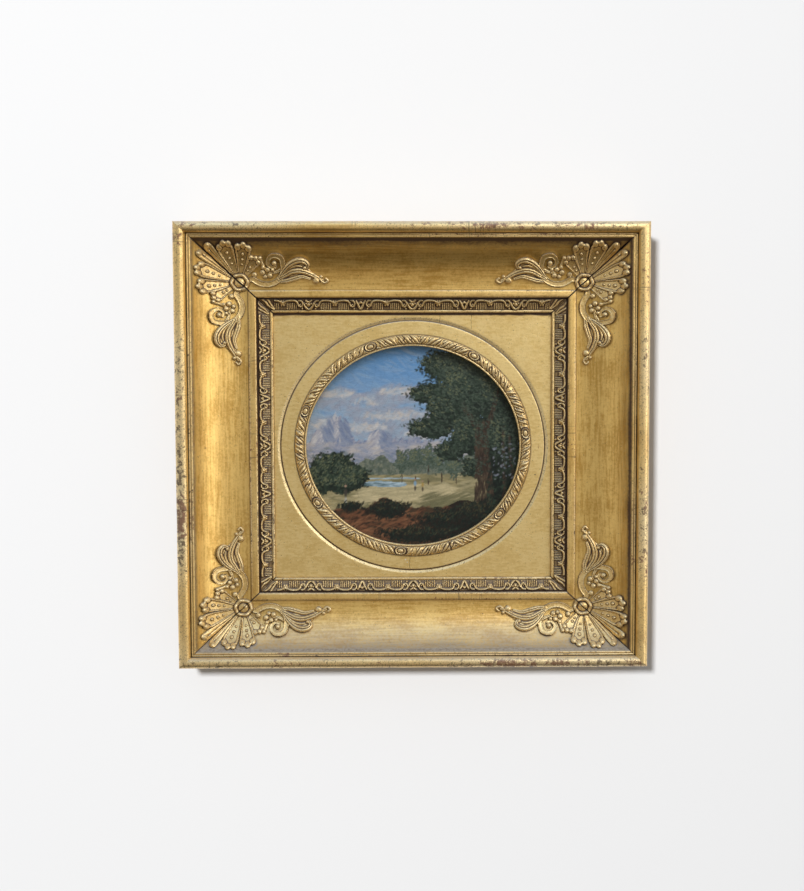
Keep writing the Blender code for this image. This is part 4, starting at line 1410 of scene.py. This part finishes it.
def far_ridge(x):
    """Top of the rocky hills"""
    return (1 + 23 * np.exp(-np.abs((x + 60) / 9.5) ** 2.8) - 6 * np.exp(-((x + 58) / 1.7) ** 2)
            + 14 * np.exp(-((x + 75) / 9) ** 2) + 12 * np.exp(-((x + 28) / 11) ** 2)
            + 5 * np.exp(-((x - 2) / 16) ** 2) + 1.3 * np.sin(x / 1.9) + 0.9 * np.sin(x / 0.8 + 1))


def near_ridge(x):
    return -9 + 9 * np.exp(-((x + 74) / 18) ** 2) + 4 * np.exp(-((x + 16) / 20) ** 2) + np.sin(x / 5)


def far_woods(x):
    return -12 + 3.0 * np.sin(x / 6.0) + 1.8 * np.sin(x / 2.3)


def bank(x):
    """Edge of the dark ground in front"""
    return -53 + 8 * np.exp(-((x + 22) / 15) ** 2) + 7 * np.exp(-((x - 46) / 20) ** 2) + 1.2 * np.sin(x / 5)


def inside_any(masses, share):
    """Whether a place is within one of the ragged ovals"""
    def inside(x, z):
        ragged = 1 + 0.16 * np.sin(x * 0.7 + z * 0.5) * np.sin(z * 0.9 - x * 0.3)
        found = np.zeros(x.shape, dtype=bool)
        for centre_x, middle_z, radius_x, radius_z in masses:
            found |= np.hypot((x - centre_x) / radius_x, (z - middle_z) / radius_z) < share * ragged
        return found
    return inside


def paint_sky(canvas):
    share = smoothstep(0.0, 74.0, canvas.up + 0.12 * canvas.across)[..., None]
    canvas.colour[:] = mixed(sky_blue, sky_pale, share)
    canvas.dabs(620, strip(-90, 90, -10, 84), 9.0, 1.5, -0.35, (sky_pale, (0.20, 0.33, 0.50), sky_blue),
                0.30, 0.25)
    clouds = ((-40, 34, 26, 8), (-14, 42, 20, 6), (-66, 40, 16, 5), (-4, 20, 24, 9), (-24, 22, 26, 6),
              (-74, 14, 16, 8), (6, 6, 22, 7), (-44, 12, 26, 6))
    for centre_x, level, wide, tall in clouds:
        canvas.dabs(190, blob(centre_x, level, wide * 1.15, tall * 1.3), 5.0, 1.9, 0.35,
                    (cloud_lilac, sky_pale, haze), 0.32, 0.6)
        canvas.dabs(80, blob(centre_x + 3, level + tall * 0.5, wide * 0.75, tall * 0.45), 3.6, 1.3, 0.35,
                    (cloud_light, cloud_warm, sky_pale), 0.40, 0.7)


def paint_hills(canvas):
    canvas.fill(lambda x, z: z < far_ridge(x), rock_shade)
    canvas.dabs(900, strip(-92, 70, -14, far_ridge), 3.0, 1.0, 1.0, (rock_shade, rock_light, haze), 0.6, 0.5)
    for peak, top in ((-61, 25), (-75, 15), (-28, 13)):
        canvas.dabs(90, strip(peak - 9, peak + 1, top - 20, lambda x: far_ridge(x) - 1), 4.6, 0.9, 1.05,
                    (rock_light, haze, cloud_light), 0.6, 0.25)
        canvas.dabs(90, strip(peak + 1, peak + 9, top - 20, lambda x: far_ridge(x) - 1), 4.6, 0.9, -1.05,
                    (rock_shade, cloud_lilac), 0.6, 0.15)
    canvas.dabs(420, strip(-92, 70, -16, 2), 6.0, 1.8, 0.1, (haze, cloud_lilac, cloud_warm), 0.45, 0.3)
    canvas.dabs(520, strip(-92, 70, -17, near_ridge), 3.4, 1.2, -0.3,
                (rock_shade, (0.16, 0.19, 0.20), haze), 0.55)


def paint_distance(canvas):
    """Far woods, the meadow with its slopes, and the pool"""
    canvas.fill(lambda x, z: (z < far_woods(x)) & (x > -62), (0.10, 0.12, 0.10))
    canvas.dabs(900, strip(-62, 70, -26, far_woods), 1.7, 1.1, 1.3,
                ((0.07, 0.09, 0.07), (0.15, 0.17, 0.135), leaf_grey, (0.20, 0.205, 0.15)), 0.75, 0.7)
    canvas.fill(lambda x, z: z < -24, meadow_deep)
    canvas.dabs(1100, strip(-92, 92, -62, -24), 6.0, 1.3, 0.05,
                (meadow_light, meadow_deep, (0.30, 0.25, 0.13)), 0.7, 0.14)
    canvas.dabs(260, strip(-46, 34, -46, -33), 8.0, 1.1, 0.12, ((0.50, 0.42, 0.25), meadow_light), 0.6, 0.10)
    canvas.dabs(120, strip(10, 48, -52, -40), 8.0, 0.9, 0.30, ((0.12, 0.115, 0.06), meadow_deep), 0.6, 0.08)
    canvas.fill(lambda x, z: np.hypot((x + 24) / 19, (z + 32.0 - 0.4 * np.sin(x / 7)) / 2.5) < 1, water_blue)
    canvas.dabs(30, strip(-38, 4, -27.6, -26.6), 4.0, 0.5, 0.0, ((0.38, 0.46, 0.50), water_blue), 0.7, 0.03)
    canvas.dabs(90, strip(-41, -8, -33.6, -30.4), 4.0, 0.6, 0.0,
                (water_blue, (0.38, 0.48, 0.54), water_dark), 0.75, 0.03)


def paint_slender_trees(canvas):
    for x, top, wide in ((-9, -4, 5.5), (2, -2, 6.5), (13, 0, 7.0), (24, -4, 8.0), (36, -8, 9.0)):
        canvas.dabs(16, strip(x - 0.4, x + 0.4, -31, top - 6), 2.0, 0.45, math.pi / 2, (bark, bark_light),
                    0.8, 0.08)
        canvas.dabs(300, blob(x, top - 9, wide, 9.0, 0.5), 1.3, 0.75, 0.6,
                    (leaf_grey, leaf_green, (0.050, 0.075, 0.060), (0.10, 0.13, 0.105)), 0.75, 0.8)
        canvas.dabs(70, blob(x - wide * 0.3, top - 6, wide * 0.6, 5.5), 1.0, 0.6, 0.6,
                    (leaf_light, leaf_grey), 0.7, 0.8)


def paint_bushes(canvas):
    canvas.fill(inside_any(bush_masses, 0.92), leaf_dark)
    for x, z, wide, tall in bush_masses:
        canvas.dabs(260, blob(x, z, wide, tall, 0.3), 1.8, 1.0, 0.5,
                    (leaf_dark, leaf_green, leaf_black), 0.8, 0.8)
        canvas.dabs(230, blob(x - 1, z + tall * 0.3, wide * 0.85, tall * 0.65, 0.4), 1.4, 0.62, 0.9,
                    (leaf_green, leaf_grey, leaf_green, leaf_light), 0.6, 0.7)


def paint_trunk(canvas, low, high, wide, count):
    """A rising stem of upright touches; low and high are its ends"""
    for step in range(count):
        share = step / count
        x = low[0] + (high[0] - low[0]) * share + math.sin(share * 5)
        z = low[1] + (high[1] - low[1]) * share
        colour = mixed(bark_light, bark, canvas.random.uniform(0, 1) ** 2)
        breadth = wide * (1.25 - 0.55 * share)
        canvas.dab(x + canvas.random.uniform(-0.5, 0.5) * breadth, z, 4.2, 0.8,
                   math.pi / 2 + canvas.random.normal(0, 0.12), colour, 0.8)


def paint_crown(canvas):
    """The tall tree on the right: crown, trunk, boughs and leaf touches"""
    canvas.fill(inside_any(crown_masses, 0.90), leaf_dark)
    canvas.fill(lambda x, z: (x > 62 + 2 * np.sin(z / 4)) & (z < 30), leaf_black)
    for x, z, wide, tall in crown_masses:
        canvas.dabs(int(wide * tall * 0.9), blob(x, z, wide, tall, 0.35), 1.9, 1.0, -0.3,
                    (leaf_dark, leaf_green, leaf_black), 0.8, 0.7)
    for low, high, wide, count in (((58, -64), (58, 18), 14.0, 620), ((57, 6), (42, 34), 3.0, 70),
                                   ((59, 10), (72, 44), 3.0, 80), ((75, -54), (76, 14), 2.2, 90),
                                   ((83, -46), (81, 8), 1.8, 70)):
        paint_trunk(canvas, low, high, wide, count)
    for x, z, wide, tall in crown_masses:
        lit = blob(x - wide * 0.15, z + tall * 0.15, wide * 0.9, tall * 0.8, 0.45)
        canvas.dabs(wide * tall, lit, 1.5, 0.58, -0.5,
                    (leaf_green, leaf_grey, (0.052, 0.075, 0.058), leaf_dark), 0.66, 0.6)
        brightest = blob(x - wide * 0.5, z + tall * 0.3, wide * 0.45, tall * 0.5, 0.4)
        canvas.dabs(int(wide * tall * 0.16), brightest, 1.2, 0.55, -0.5, (leaf_grey, leaf_light), 0.6, 0.6)
    canvas.dabs(420, strip(62, 92, -66, -6), 2.2, 0.9, 1.0, (leaf_black, leaf_dark, leaf_green), 0.75, 0.8)
    canvas.dabs(50, strip(66, 90, -28, 2), 1.4, 0.8, 0.6, (haze, cloud_lilac), 0.35, 0.8)


def paint_foreground(canvas):
    """Red-brown bank, a low mound and dark growth"""
    canvas.fill(lambda x, z: z < bank(x), earth_dark)
    canvas.dabs(1300, strip(-92, 30, -84, bank), 3.8, 1.3, 0.15,
                (earth_red, earth_dark, (0.060, 0.034, 0.019), (0.035, 0.026, 0.015)), 0.75, 0.5)
    canvas.dabs(170, strip(-62, 4, -78, lambda x: bank(x) - 3), 4.0, 1.0, 0.2,
                ((0.22, 0.10, 0.05), earth_red), 0.55, 0.3)
    mounds = ((-20, -53, 17, 8), (30, -62, 26, 9), (-52, -50, 11, 4), (58, -60, 26, 15), (6, -74, 34, 7))
    canvas.fill(inside_any(mounds, 0.8), leaf_black)
    for x, z, wide, tall in mounds:
        canvas.dabs(wide * tall * 2, blob(x, z, wide, tall, 0.4), 1.9, 0.7, 1.0,
                    (leaf_black, earth_dark, leaf_dark), 0.8, 0.7)
        canvas.dabs(int(wide * tall * 0.45), blob(x, z + tall * 0.5, wide * 0.85, tall * 0.5, 0.4),
                    1.7, 0.5, 1.1, (leaf_green, (0.075, 0.060, 0.026), leaf_dark), 0.55, 0.6)


def paint_walkers(canvas):
    """Small walkers on the path and one by the bush, a few touches each: legs, coat, head"""
    for x, feet, tall, legs, coat in ((1.8, -38.0, 11.0, (0.05, 0.04, 0.035), (0.18, 0.30, 0.42)),
                                      (8.0, -38.5, 10.0, (0.06, 0.045, 0.03), (0.34, 0.23, 0.07)),
                                      (-56.0, -50.5, 19.0, (0.34, 0.34, 0.30), (0.045, 0.040, 0.032))):
        head = 0.4 + 0.05 * tall
        canvas.dab(x, feet + 0.24 * tall, 0.26 * tall, 0.8 + 0.03 * tall, math.pi / 2, legs, 0.9)
        canvas.dab(x, feet + 0.60 * tall, 0.24 * tall, 0.9 + 0.05 * tall, math.pi / 2, coat, 0.95)
        canvas.dab(x, feet + 0.90 * tall, head, head, 0.0, (0.30, 0.20, 0.14), 0.95)


def paint_picture(canvas):
    """A generic wooded valley: sky and hills, a pool, a tall tree on the right, dark ground in front"""
    for layer in (paint_sky, paint_hills, paint_distance, paint_slender_trees, paint_bushes, paint_walkers,
                  paint_crown, paint_foreground):
        layer(canvas)


def make_panel():
    canvas = Canvas(picture_half_x, picture_half_z, picture_step)
    paint_picture(canvas)

    # The grid of the picture, with plain borders out to the panel's edge
    x, z = np.meshgrid(np.concatenate([[-insert_half_x], canvas.x, [insert_half_x]]),
                       np.concatenate([[-insert_half_z], canvas.z, [insert_half_z]]), indexing="ij")
    colour = np.pad(canvas.colour, ((1, 1), (1, 1), (0, 0)), mode="edge")
    lift = np.clip(0.03 * np.pad(canvas.paint - blurred(canvas.paint, 4), 1), -0.06, 0.10)
    front = together(x, -(panel_front - 0.1 + lift), centre_z + z).reshape(-1, 3)
    faces, border = slab_faces(*x.shape)
    back = front[border]
    back[:, 1] = -panel_back
    finish = np.zeros(len(faces), dtype=int)
    finish[-len(border) - 1:] = 1
    rgba = np.ones((len(front) + len(back), 4))
    rgba[:, :3] = np.vstack([colour.reshape(-1, 3), np.full(back.shape, 0.1)])
    spot = np.vstack([together(x, z, 0.0).reshape(-1, 3), back[:, [0, 2, 1]]]) * mm
    make_piece("painting", "painted_panel", np.vstack([front, back]), faces, [oil_paint, bare_wood],
               finish, {"picture": np.clip(rgba, 0.0, 1.0), "place": spot})


def paint_material(name):
    """Oil paint under old varnish, with bristle marks and fine crackle"""
    n = Nodes(name)
    bristle = n.noise(n.stretched(n.stored("place", "Vector"), (0.25, 1.0, 1.0)), 0.0011, 5.0, 0.6, 0.8)
    grain = n.noise(n.position, 0.0009, 4.0)
    streaks = n.mix(bristle, (0.30, 0.30, 0.30), (0.75, 0.74, 0.72))
    colour = n.mix(0.55, n.stored("picture", "Color"), streaks, "OVERLAY")
    cracked = n.span(n.crackle(0.0062, 0.03), 0.0, 1.0, 0.16, 0.0)
    colour = n.mix(cracked, colour, (0.02, 0.014, 0.01))
    relief = n.total((bristle, 0.7), (grain, 0.3))
    n.set(Base_Color=colour, Roughness=n.span(bristle, 0.2, 0.8, 0.34, 0.48),
          Normal=n.bump(relief, 0.0002, 0.5))
    n.shader.inputs["Specular IOR Level"].default_value = 0.3
    return n.material


oil_paint = paint_material("oil_paint")


# Backdrop, light and camera

def area_light(name, place, size, power, colour, receivers):
    data = bpy.data.lights.new(name, "AREA")
    data.shape = "RECTANGLE"
    data.size, data.size_y = size
    data.energy = power
    data.color = colour
    light = bpy.data.objects.new(name, data)
    bpy.context.scene.collection.objects.link(light)
    light.location = place
    target = Vector((0.0, 0.0, centre_z * mm))
    light.rotation_euler = (target - light.location).to_track_quat("-Z", "Y").to_euler()
    light.light_linking.receiver_collection = receivers
    return light


def make_backdrop():
    """A pale wall just behind the frame"""
    wall_gap = 0.0015
    bpy.ops.mesh.primitive_plane_add(size=6.0, location=(0.0, wall_gap, centre_z * mm),
                                     rotation=(math.radians(90), 0.0, 0.0))
    wall = bpy.context.object
    wall.name = "wall"
    n = Nodes("pale_wall")
    n.set(Base_Color=(0.72, 0.72, 0.725), Roughness=0.9)
    wall.data.materials.append(n.material)
    return wall


def make_world():
    """What the gilding mirrors: a dark floor, a warm low band and a pale room above"""
    world = bpy.data.worlds.new("studio")
    bpy.context.scene.world = world
    world.use_nodes = True
    tree = world.node_tree
    background = tree.nodes["Background"]
    coordinates = tree.nodes.new("ShaderNodeTexCoord")
    split = tree.nodes.new("ShaderNodeSeparateXYZ")
    ramp = tree.nodes.new("ShaderNodeValToRGB")
    tree.links.new(coordinates.outputs["Generated"], split.inputs[0])
    level = tree.nodes.new("ShaderNodeMapRange")
    tree.links.new(split.outputs["Z"], level.inputs["Value"])
    level.inputs["From Min"].default_value = -1.0
    level.inputs["From Max"].default_value = 1.0
    tree.links.new(level.outputs["Result"], ramp.inputs["Fac"])
    floor, sky = (0.02, 0.015, 0.010), (0.60, 0.66, 0.74)
    elements = ramp.color_ramp.elements
    elements[0].color = (*floor, 1.0)
    elements[1].color = (*sky, 1.0)
    for position, colour in ((0.13, (0.07, 0.05, 0.03)), (0.27, (1.05, 0.86, 0.60)),
                             (0.40, (0.95, 0.92, 0.86)), (0.58, (1.0, 1.0, 1.0)),
                             (0.78, (0.80, 0.86, 0.92))):
        elements.new(position).color = (*colour, 1.0)
    tree.links.new(ramp.outputs["Color"], background.inputs["Color"])
    background.inputs["Strength"].default_value = 0.40


def make_camera():
    """Camera a little above the middle of the frame, turned and shifted as the photo was taken"""
    data = bpy.data.cameras.new("camera")
    camera = bpy.data.objects.new("camera", data)
    bpy.context.scene.collection.objects.link(camera)
    distance, across, up = 1.1964, -0.0030, -0.1213
    yaw, pitch, roll = math.radians(0.978), math.radians(-4.220), math.radians(-0.119)
    camera.location = (across, -distance, up)
    forward = Vector((math.sin(yaw) * math.cos(pitch), math.cos(yaw) * math.cos(pitch), math.sin(pitch)))
    camera.rotation_euler = forward.to_track_quat("-Z", "Y").to_euler()
    camera.rotation_euler.rotate_axis("Z", roll)
    data.sensor_fit = "VERTICAL"
    data.sensor_height = 36.0
    data.lens = 57.91
    data.shift_x = -0.0358
    data.shift_y = 0.0813
    data.clip_start = 0.01
    data.clip_end = 20.0
    bpy.context.scene.camera = camera


corner_shape = corner_relief()
corner_list = (("top_left", -1, 1), ("top_right", 1, 1), ("bottom_left", -1, -1), ("bottom_right", 1, -1))
for corner_index, (corner_name, corner_side, corner_end) in enumerate(corner_list):
    make_corner(corner_name, corner_side, corner_end, corner_index)
for rail_name in ("top", "bottom", "left", "right"):
    make_rail(rail_name)
    make_band(rail_name)
make_ring()
make_slip()
make_panel()
backdrop = make_backdrop()
make_world()
on_wall = bpy.data.collections.new("lit_wall")
on_wall.objects.link(backdrop)
on_frame = bpy.data.collections.new("lit_frame")
for thing in bpy.context.scene.objects:
    if thing.type == "MESH" and thing is not backdrop:
        on_frame.objects.link(thing)
area_light("wall_light", (-1.17, -4.8, 1.02), (0.48, 0.48), 262.0, (0.98, 0.99, 1.0), on_wall)
area_light("upper_right", (0.85, -1.5, 0.75), (1.0, 1.0), 12.0, (1.0, 0.98, 0.94), on_frame)
area_light("right", (1.45, -0.72, 0.0), (0.7, 1.3), 5.5, (1.0, 0.97, 0.92), on_frame)
area_light("left", (-1.5, -0.9, 0.0), (0.7, 1.3), 0.8, (1.0, 0.99, 0.97), on_frame)
area_light("above", (-0.1, -0.85, 1.10), (1.5, 0.6), 5.0, (0.60, 0.82, 1.0), on_frame)
soft_key = area_light("soft_key", (0.45, -1.75, 1.50), (0.7, 0.7), 16.0, (1.0, 0.985, 0.96), on_frame)
soft_key.visible_glossy = False
make_camera()

bpy.context.scene.view_settings.view_transform = "Standard"
